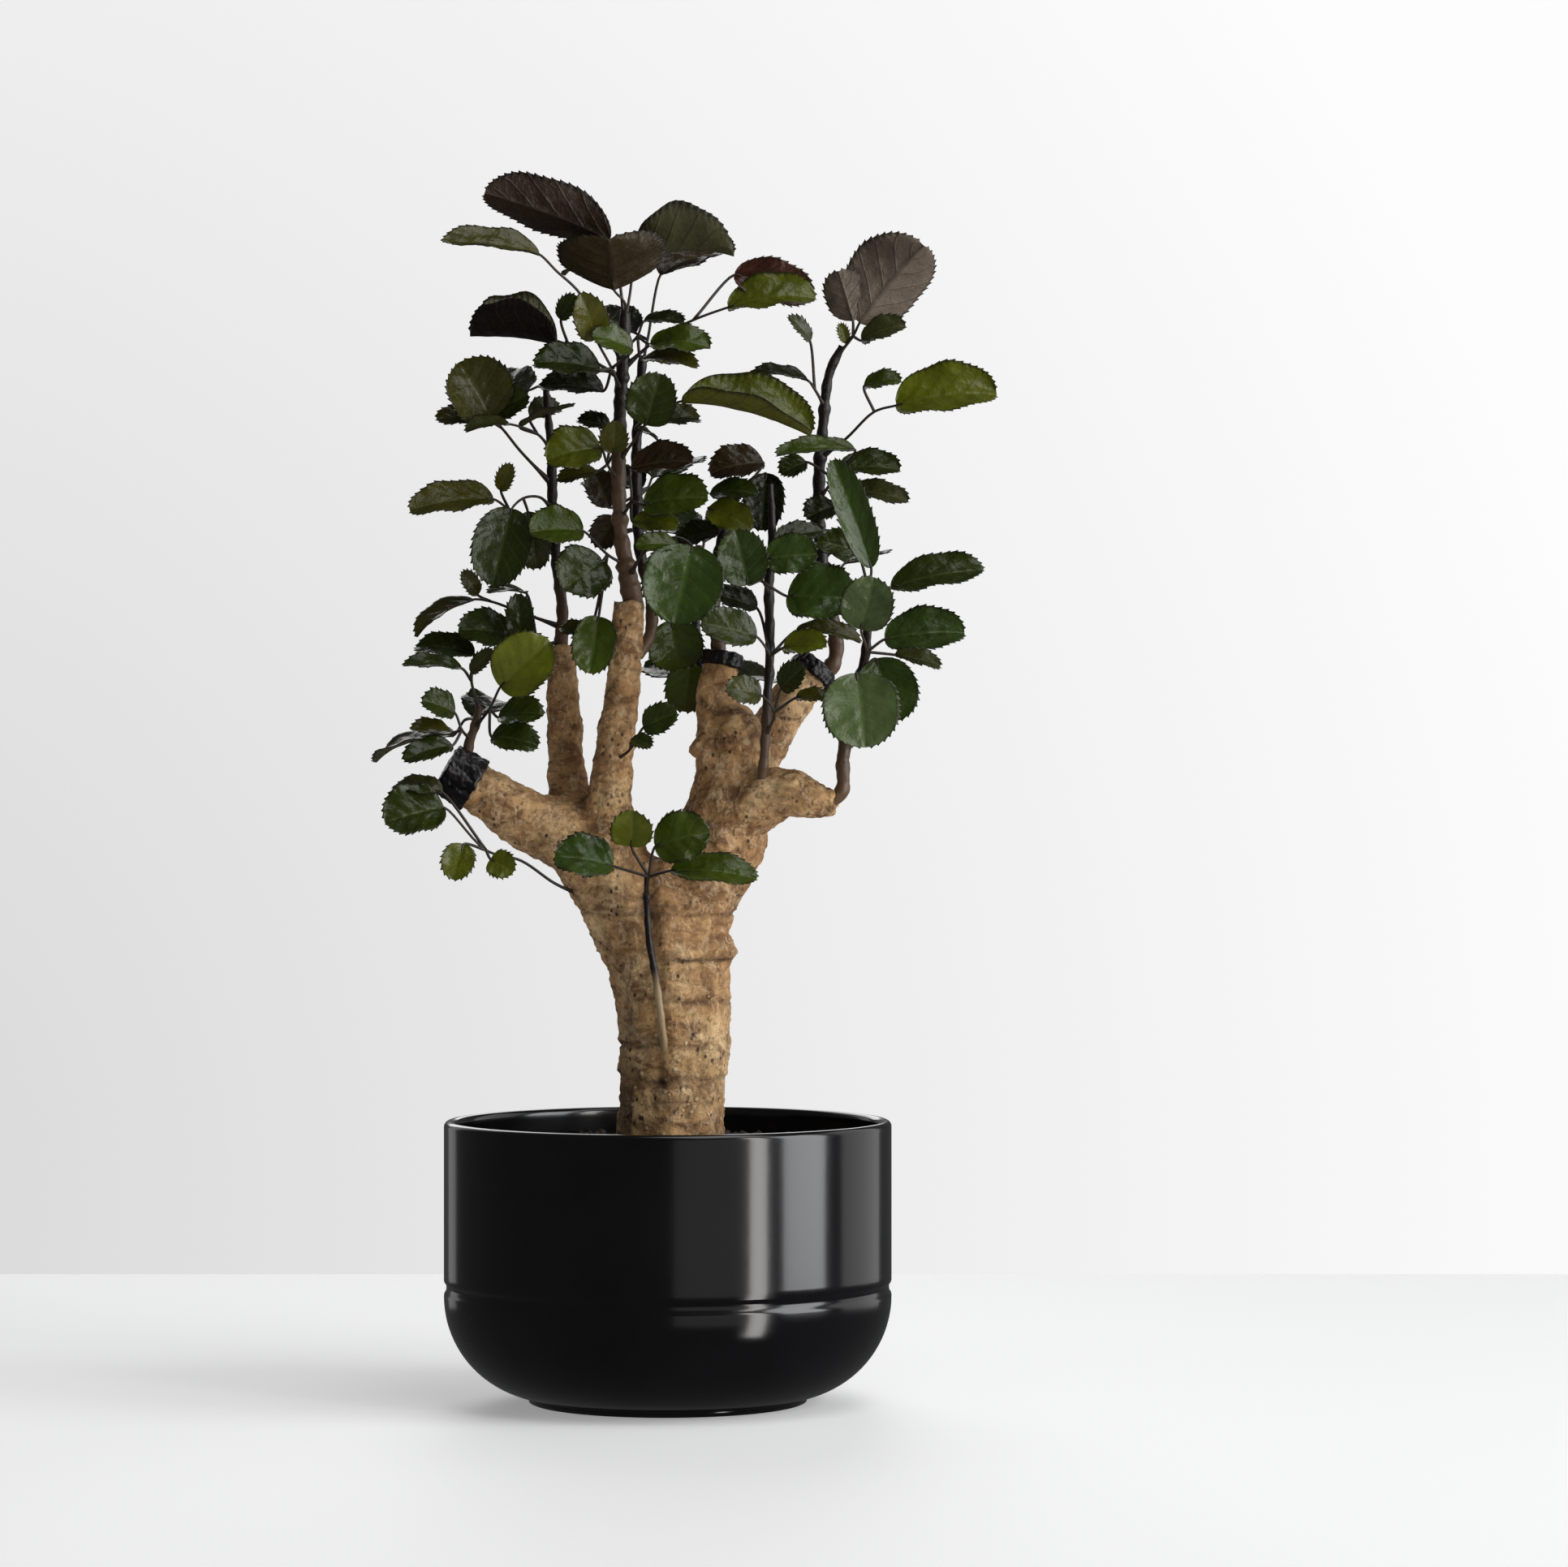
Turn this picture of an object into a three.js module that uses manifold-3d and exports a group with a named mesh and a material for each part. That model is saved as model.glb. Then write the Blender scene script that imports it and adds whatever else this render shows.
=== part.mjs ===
// A pruned aralia stump grown as a bonsai, with its shoots and leaves, in a round glazed planter.
// Millimetres, +Z up. The origin is the centre of the planter's flat foot. The front faces -Y.
import * as THREE from "three";
import { mergeVertices } from "three/addons/utils/BufferGeometryUtils.js";
import Module from "manifold-3d";

const wasm = await Module();
wasm.setup();

// ---------------------------------------------------------------- driving dimensions

const CLEARANCE = 0.3; // left between pieces that touch in the real plant

// Planter: a straight wall over a round bowl, with a shallow ring groove between them.
const POT_DIAMETER = 210;
const POT_HEIGHT = 132;
const POT_WALL = 5.5;
const POT_LIP_ROUND = 2.4;
const BOWL_ROUND = 48; // outer radius of the turn from wall to floor
const FOOT_DIAMETER = 131;
const FOOT_HEIGHT = 2.8;
const GROOVE_HEIGHT = 55; // height of the groove's middle above the foot
const GROOVE_WIDTH = 4.4;
const GROOVE_DEPTH = 0.9;

// Soil
const SOIL_BELOW_RIM = 12;
const SOIL_MOUND = 2; // how much the soil rises towards the trunk

// Plant. The tables further down are drawn for the heights and girth named DRAWN.
const TREE_HEIGHT = 460; // from the soil's edge to the highest leaf
const DRAWN_TREE_HEIGHT = 460;
const DRAWN_SOIL_LEVEL = 120; // height above the foot from which the tables measure the tree
const TRUNK_DIAMETER = 50; // just above the soil
const DRAWN_TRUNK_DIAMETER = 50;
const LEAF_THICKNESS = 1.2; // along the midrib
const PETIOLE_DIAMETER = 1.5;
const WAX_THICKNESS = 1.2; // sealing wax on the pruned ends

// Fineness of the round pieces
const POT_SIDES = 32;
const LIMB_SIDES = 8;
const CAP_SIDES = 12;
const SHOOT_SIDES = 5;
const PETIOLE_SIDES = 3;
const BOWL_STEPS = 5; // straight steps round the outside of the planter's bowl
const INNER_BOWL_STEPS = 3;
const LIP_STEPS = 2; // to each side of the rim's top
const CURVE_SAMPLES = 200; // places looked at to find a height on a shoot

// ---------------------------------------------------------------- finishes

const GLAZE = new THREE.MeshStandardMaterial({ color: 0x060607, roughness: 0.15 });
const SOIL = new THREE.MeshStandardMaterial({ color: 0x1d1510, roughness: 0.95 });
const BARK = new THREE.MeshStandardMaterial({ color: 0xa3794a, roughness: 0.85 });
const WAX = new THREE.MeshStandardMaterial({ color: 0x17141a, roughness: 0.45 });
const STEM = new THREE.MeshStandardMaterial({ color: 0x2b2024, roughness: 0.6 });
const LEAF = new THREE.MeshStandardMaterial({ color: 0x2c4a1c, roughness: 0.4 });

// ---------------------------------------------------------------- general tools

const radians = THREE.MathUtils.degToRad;

/** A closed geometry as a manifold-3d solid. */
function solidOf(geometry) {
  const bare = new THREE.BufferGeometry().setAttribute("position", geometry.getAttribute("position"));
  if (geometry.index) bare.setIndex(geometry.index);
  const merged = mergeVertices(bare, 1e-4);
  const index = merged.index.array;
  const faces = [];
  for (let i = 0; i < index.length; i += 3) {
    const [a, b, c] = [index[i], index[i + 1], index[i + 2]];
    if (a !== b && b !== c && c !== a) faces.push(a, b, c);
  }
  const mesh = new wasm.Mesh({
    numProp: 3,
    vertProperties: new Float32Array(merged.attributes.position.array),
    triVerts: new Uint32Array(faces),
  });
  return new wasm.Manifold(mesh);
}

/** A closed skin of triangles as a solid, whichever way round its faces were wound. */
function closedSolid(points, index) {
  const geometry = new THREE.BufferGeometry();
  const position = new THREE.Float32BufferAttribute(points.flatMap((point) => point.toArray()), 3);
  geometry.setAttribute("position", position);
  geometry.setIndex(index);
  const made = solidOf(geometry);
  if (made.volume() > 0) return made;
  geometry.setIndex(index.reverse());
  return solidOf(geometry);
}

/** A manifold-3d solid as a named mesh. */
function meshOf(name, solid, material) {
  const data = solid.getMesh();
  const geometry = new THREE.BufferGeometry();
  geometry.setAttribute("position", new THREE.BufferAttribute(new Float32Array(data.vertProperties), 3));
  geometry.setIndex(new THREE.BufferAttribute(new Uint32Array(data.triVerts), 1));
  geometry.computeVertexNormals();
  const mesh = new THREE.Mesh(geometry, material);
  mesh.name = name;
  return mesh;
}

const joined = (solids) => solids.reduce((whole, piece) => whole.add(piece));

/** A body of revolution about Z from [radius, height] points that run up the outside. */
function turned(profile, sides) {
  const points = profile.map(([r, z]) => new THREE.Vector2(r, z));
  return solidOf(new THREE.LatheGeometry(points, sides).rotateX(Math.PI / 2));
}

/** Points on an arc in the [radius, height] plane, both ends included. */
function arc(centre, radius, from, to, steps) {
  return Array.from({ length: steps + 1 }, (_, i) => {
    const angle = radians(from + ((to - from) * i) / steps);
    return [centre[0] + radius * Math.cos(angle), centre[1] + radius * Math.sin(angle)];
  });
}

/** Evenly spaced points along a curve, both ends included. */
const spaced = (curve, steps) => Array.from({ length: steps + 1 }, (_, i) => curve.getPointAt(i / steps));

/** A closed tube through points, with a radius at each of them, that overshoots both ends. */
function tube(points, radii, sides, overshoot = 0) {
  const last = points.length - 1;
  const tangents = points.map((_, i) =>
    points[Math.min(i + 1, last)].clone().sub(points[Math.max(i - 1, 0)]).normalize(),
  );
  const centres = points.map((point) => point.clone());
  centres[0].addScaledVector(tangents[0], -overshoot);
  centres[last].addScaledVector(tangents[last], overshoot);
  let normal = new THREE.Vector3(0, 1, 0);
  const rings = centres.flatMap((centre, i) => {
    normal = normal.addScaledVector(tangents[i], -normal.dot(tangents[i])).normalize();
    const binormal = new THREE.Vector3().crossVectors(tangents[i], normal);
    return Array.from({ length: sides }, (_, k) => {
      const angle = (2 * Math.PI * k) / sides;
      const rim = centre.clone().addScaledVector(normal, radii[i] * Math.cos(angle));
      return rim.addScaledVector(binormal, radii[i] * Math.sin(angle));
    });
  });
  const [startHub, endHub] = [rings.length, rings.length + 1];
  const top = last * sides;
  const index = [];
  for (let k = 0; k < sides; k++) {
    const next = (k + 1) % sides;
    index.push(startHub, next, k, endHub, top + k, top + next);
    for (let ring = 0; ring < top; ring += sides) {
      index.push(ring + k, ring + next, ring + sides + k);
      index.push(ring + next, ring + sides + next, ring + sides + k);
    }
  }
  return closedSolid([...rings, centres[0], centres[last]], index);
}

// ---------------------------------------------------------------- planter and soil

const potRadius = POT_DIAMETER / 2;
const footRadius = FOOT_DIAMETER / 2;
const bowlCentreR = potRadius - BOWL_ROUND;
const footAngle = (Math.acos((footRadius - bowlCentreR) / BOWL_ROUND) * 180) / Math.PI;
const bowlCentreZ = FOOT_HEIGHT + BOWL_ROUND * Math.sin(radians(footAngle));
const soilLevel = POT_HEIGHT - SOIL_BELOW_RIM;

function planterPot() {
  const innerRound = BOWL_ROUND - POT_WALL;
  const innerRadius = potRadius - POT_WALL;
  const lipZ = POT_HEIGHT - POT_LIP_ROUND;
  return turned(
    [
      [0, 0],
      [footRadius, 0],
      ...arc([bowlCentreR, bowlCentreZ], BOWL_ROUND, -footAngle, 0, BOWL_STEPS),
      [potRadius, GROOVE_HEIGHT - GROOVE_WIDTH / 2],
      [potRadius - GROOVE_DEPTH, GROOVE_HEIGHT],
      [potRadius, GROOVE_HEIGHT + GROOVE_WIDTH / 2],
      ...arc([potRadius - POT_LIP_ROUND, lipZ], POT_LIP_ROUND, 0, 90, LIP_STEPS),
      ...arc([innerRadius + POT_LIP_ROUND, lipZ], POT_LIP_ROUND, 90, 180, LIP_STEPS),
      ...arc([bowlCentreR, bowlCentreZ], innerRound, 0, -90, INNER_BOWL_STEPS),
      [0, bowlCentreZ - innerRound],
    ],
    POT_SIDES,
  );
}

function pottingSoil() {
  const round = BOWL_ROUND - POT_WALL - CLEARANCE;
  const radius = potRadius - POT_WALL - CLEARANCE;
  const fill = turned(
    [
      [0, bowlCentreZ - round],
      ...arc([bowlCentreR, bowlCentreZ], round, -90, 0, INNER_BOWL_STEPS),
      [radius, soilLevel],
      [radius / 2, soilLevel + SOIL_MOUND / 2],
      [0, soilLevel + SOIL_MOUND],
    ],
    POT_SIDES,
  );
  return fill.subtract(trunkWith(CLEARANCE));
}

// ---------------------------------------------------------------- trunk and pruned limbs

// The tables give points as [x, y, height above the foot], as drawn.
const growth = TREE_HEIGHT / DRAWN_TREE_HEIGHT;
const girth = (TRUNK_DIAMETER / DRAWN_TRUNK_DIAMETER) * growth;

/** A table's point, in the part's frame. */
function placed([x, y, z]) {
  return new THREE.Vector3(x * growth, y * growth, soilLevel + (z - DRAWN_SOIL_LEVEL) * growth);
}

// Each limb is a row of [x, y, height, radius] from its root to its cut end.
const LIMBS = {
  bole: [
    [1, 0, 66, 13],
    [1, 0, 84, 21],
    [1, 0, 104, 25],
    [1, 0, 122, 26.5],
    [1.5, 0, 140, 25],
    [2, 0, 155, 25.3],
    [3.5, 0, 172, 26.6],
    [3, 0, 190, 26.5],
    [1, 0, 205, 28.5],
    [-3, 0, 222, 27],
    [-5, 0, 240, 23],
    [-6, 0, 254, 15],
  ],
  leftFork: [
    [-3, 0, 205, 25],
    [-12, 0, 225, 25],
    [-24, 0, 243, 22.5],
    [-38, 0, 260, 19.5],
    [-48, 0, 268, 15],
  ],
  left: [
    [-38, 0, 260, 18],
    [-53, -2, 268, 16.5],
    [-69, -5, 274.5, 14],
    [-85, -8, 286, 12.2],
    [-102, -10, 296.5, 10.6],
  ],
  leftBack: [
    [-38, 4, 262, 15],
    [-46, 12, 281, 11],
    [-48.5, 17, 300, 7.8],
    [-50, 20, 330, 7.8],
    [-52, 22, 356, 7],
  ],
  centre: [
    [-26, 0, 256, 17],
    [-29, -4, 275, 13],
    [-27, -7, 292, 9.6],
    [-24, -8, 315, 8.4],
    [-20.5, -8, 342, 8],
    [-18, -8, 376, 8.3],
  ],
  rightFork: [
    [4, 0, 205, 25],
    [9, 0, 228, 20.5],
    [18, 0, 248, 20.5],
    [27, 0, 268, 22.5],
    [29, 0, 288, 18],
    [29, 0, 306, 16],
    [26, 2, 324, 13],
  ],
  knob: [
    [26, 2, 318, 12.5],
    [22.5, 4, 331, 9.8],
    [26, 6, 350, 7.8],
  ],
  rightBack: [
    [36, 2, 296, 13],
    [48, 10, 315, 11],
    [59, 17, 331, 10],
    [69, 22, 345, 9],
  ],
  right: [
    [28, -4, 272, 15],
    [45, -12, 283, 13.5],
    [58, -18, 286.5, 12.6],
    [69, -21, 282, 8.7],
    [79, -22, 281.5, 6.6],
  ],
};

// Swellings where limbs were removed: [x, y, height, radius].
const BURLS = [
  [34, -9, 313, 11.5],
  [17, -9, 306, 7],
  [-30, -10, 262, 13],
  [8, -12, 262, 12],
  [20, -8, 212, 12],
  [-22, 6, 222, 15],
];

function limbCurve(rows) {
  return new THREE.CatmullRomCurve3(rows.map(placed));
}

/** Radius along a row of points, at the share t of the curve's length. */
function radiusAlong(rows, t, scale) {
  const lengths = [0];
  const points = rows.map(placed);
  points.slice(1).forEach((p, i) => lengths.push(lengths[i] + p.distanceTo(points[i])));
  const reach = t * lengths.at(-1);
  const i = Math.min(Math.max(lengths.findIndex((l) => l >= reach), 1), rows.length - 1);
  const share = (reach - lengths[i - 1]) / (lengths[i] - lengths[i - 1]);
  return THREE.MathUtils.lerp(rows[i - 1][3], rows[i][3], share) * scale;
}

/** The whole trunk with its limbs, every surface moved out by extra. */
function trunkWith(extra) {
  const limbs = Object.values(LIMBS).map((rows) => {
    const steps = rows.length + 1;
    const radii = Array.from({ length: steps + 1 }, (_, i) => radiusAlong(rows, i / steps, girth) + extra);
    return tube(spaced(limbCurve(rows), steps), radii, LIMB_SIDES, extra);
  });
  const burls = BURLS.map(([x, y, z, r]) => {
    const ball = new THREE.IcosahedronGeometry(r * girth + extra, 1);
    return solidOf(ball.translate(...placed([x, y, z]).toArray()));
  });
  return joined([...limbs, ...burls]);
}

// Sealing wax over a limb's cut end: limb, and the length of wood that it covers.
const WAX_CAPS = {
  wax_cap_left: { limb: "left", covers: 14 },
  wax_cap_middle: { limb: "knob", covers: 5 },
  wax_cap_right: { limb: "rightBack", covers: 6 },
};

function waxCap({ limb, covers }, barkHull) {
  const rows = LIMBS[limb];
  const curve = limbCurve(rows);
  const end = curve.getPointAt(1);
  const out = curve.getTangentAt(1);
  const radius = radiusAlong(rows, 1, girth) + CLEARANCE + WAX_THICKNESS;
  const start = end.clone().addScaledVector(out, -covers);
  const top = end.clone().addScaledVector(out, CLEARANCE + WAX_THICKNESS);
  const taper = radiusAlong(rows, 1 - covers / curve.getLength(), girth) - radiusAlong(rows, 1, girth);
  const middle = start.clone().lerp(top, 0.5);
  const cap = tube([start, middle, top], [radius + taper, radius + taper / 2, radius], CAP_SIDES);
  const through = Object.values(SHOOTS).filter((shoot) => shoot.limb === limb);
  return cap.subtract(joined([barkHull, ...through.map((shoot) => shootWith(shoot, CLEARANCE))]));
}

// ---------------------------------------------------------------- shoots

// Each shoot is a row of [x, y, height, radius] from the bark to its tip. limb says which limb it
// grows from, and side which way from the limb's middle line; a thicker limb pushes it out.
const SHOOTS = {
  centre: {
    limb: "centre",
    side: [0, 0, 1],
    path: [
      [-16, -7, 374, 5],
      [-19, -6, 390, 4],
      [-22, -5, 408, 3.3],
      [-23, -4, 432, 3.2],
      [-22.5, -3, 462, 3],
      [-21, -2, 490, 2.6],
      [-20, -2, 511, 2.2],
    ],
  },
  centre_back: {
    limb: "centre",
    side: [1, 0.6, 0],
    path: [
      [-14, -4, 350, 2.8],
      [-8.5, 1, 360, 2.8],
      [-8, 5, 376, 2.6],
      [-13, 8, 398, 2.5],
      [-15, 9, 430, 2.4],
      [-14.5, 9, 462, 2.2],
      [-12, 8, 492, 1.8],
    ],
  },
  left: {
    limb: "leftBack",
    side: [0, 0, 1],
    path: [
      [-51.5, 22, 353, 3],
      [-50.5, 22, 372, 2.6],
      [-53, 21, 392, 2.4],
      [-55, 20, 415, 2.3],
      [-55.5, 20, 440, 2.2],
      [-57, 20, 462, 1.7],
      [-58.5, 20, 480, 1.4],
    ],
  },
  right: {
    limb: "rightBack",
    side: [1, 0, 0.5],
    path: [
      [73, 22, 340, 3.6],
      [79, 22, 350, 3.5],
      [77, 22, 370, 3.1],
      [72, 22, 400, 2.9],
      [71, 21, 432, 2.8],
      [73, 20, 460, 2.4],
      [76, 18, 484, 2.2],
      [82, 16, 497, 1.6],
    ],
  },
  front_right: {
    limb: "right",
    side: [0, -0.4, 1],
    path: [
      [44, -22, 290, 2.3],
      [45.5, -25, 305, 2.1],
      [46.5, -25, 325, 2],
      [48, -24, 352, 2.1],
      [47.5, -22, 382, 2.2],
      [49, -20, 408, 1.8],
      [48, -18, 430, 1.4],
    ],
  },
  far_left: {
    limb: "left",
    side: [0, 0, 1],
    path: [
      [-94, -6, 300, 2.4],
      [-93, -5, 309, 2.1],
      [-90, -4, 318, 1.8],
      [-88, -4, 327, 1.5],
    ],
  },
  far_right: {
    limb: "right",
    side: [1, 0, 0],
    path: [
      [76, -22, 281, 3.2],
      [81.5, -22, 287, 3.1],
      [82, -22, 302, 3],
      [86, -21, 320, 2.8],
      [90, -20, 338, 2.5],
      [93, -20, 355, 2.1],
      [93, -19, 376, 1.7],
    ],
  },
  middle: {
    limb: "knob",
    side: [0, 0, 1],
    path: [
      [25, 6, 347, 3.4],
      [22, 8, 364, 2.9],
      [22, 10, 385, 2.6],
      [26, 11, 410, 2.3],
      [32, 10, 432, 1.8],
    ],
  },
  front_low: {
    limb: "bole",
    side: [0, -1, 0],
    path: [
      [-1, -23, 165, 1.6],
      [-2, -29.5, 177, 1.6],
      [-5, -32, 200, 1.6],
      [-8, -33, 218, 1.5],
      [-9, -34, 234, 1.4],
      [-9, -36, 248, 1.2],
    ],
  },
  back: {
    limb: "rightFork",
    side: [0, 1, 0],
    path: [
      [26, 12, 286, 3],
      [24, 22, 296, 2.8],
      [20, 34, 320, 2.5],
      [14, 40, 350, 2.2],
      [12, 42, 380, 1.8],
      [14, 42, 404, 1.5],
    ],
  },
};

/** How far a shoot's root moves when its limb is thicker than drawn. */
function rootShift({ limb, side }) {
  const rows = LIMBS[limb];
  const thicker = rows.at(-1)[3] * (girth - growth);
  return new THREE.Vector3(...side).normalize().multiplyScalar(thicker);
}

function shootCurve(shoot) {
  const shift = rootShift(shoot);
  return new THREE.CatmullRomCurve3(shoot.path.map((row) => placed(row).add(shift)));
}

/** A shoot from its root inside the bark to its tip, its surface moved out by extra. */
function shootWith(shoot, extra) {
  const steps = shoot.path.length;
  const radiusAt = (i) => radiusAlong(shoot.path, i / steps, growth) + extra;
  const radii = Array.from({ length: steps + 1 }, (_, i) => radiusAt(i));
  return tube(spaced(shootCurve(shoot), steps), radii, SHOOT_SIDES, extra);
}

// ---------------------------------------------------------------- leaves

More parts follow.
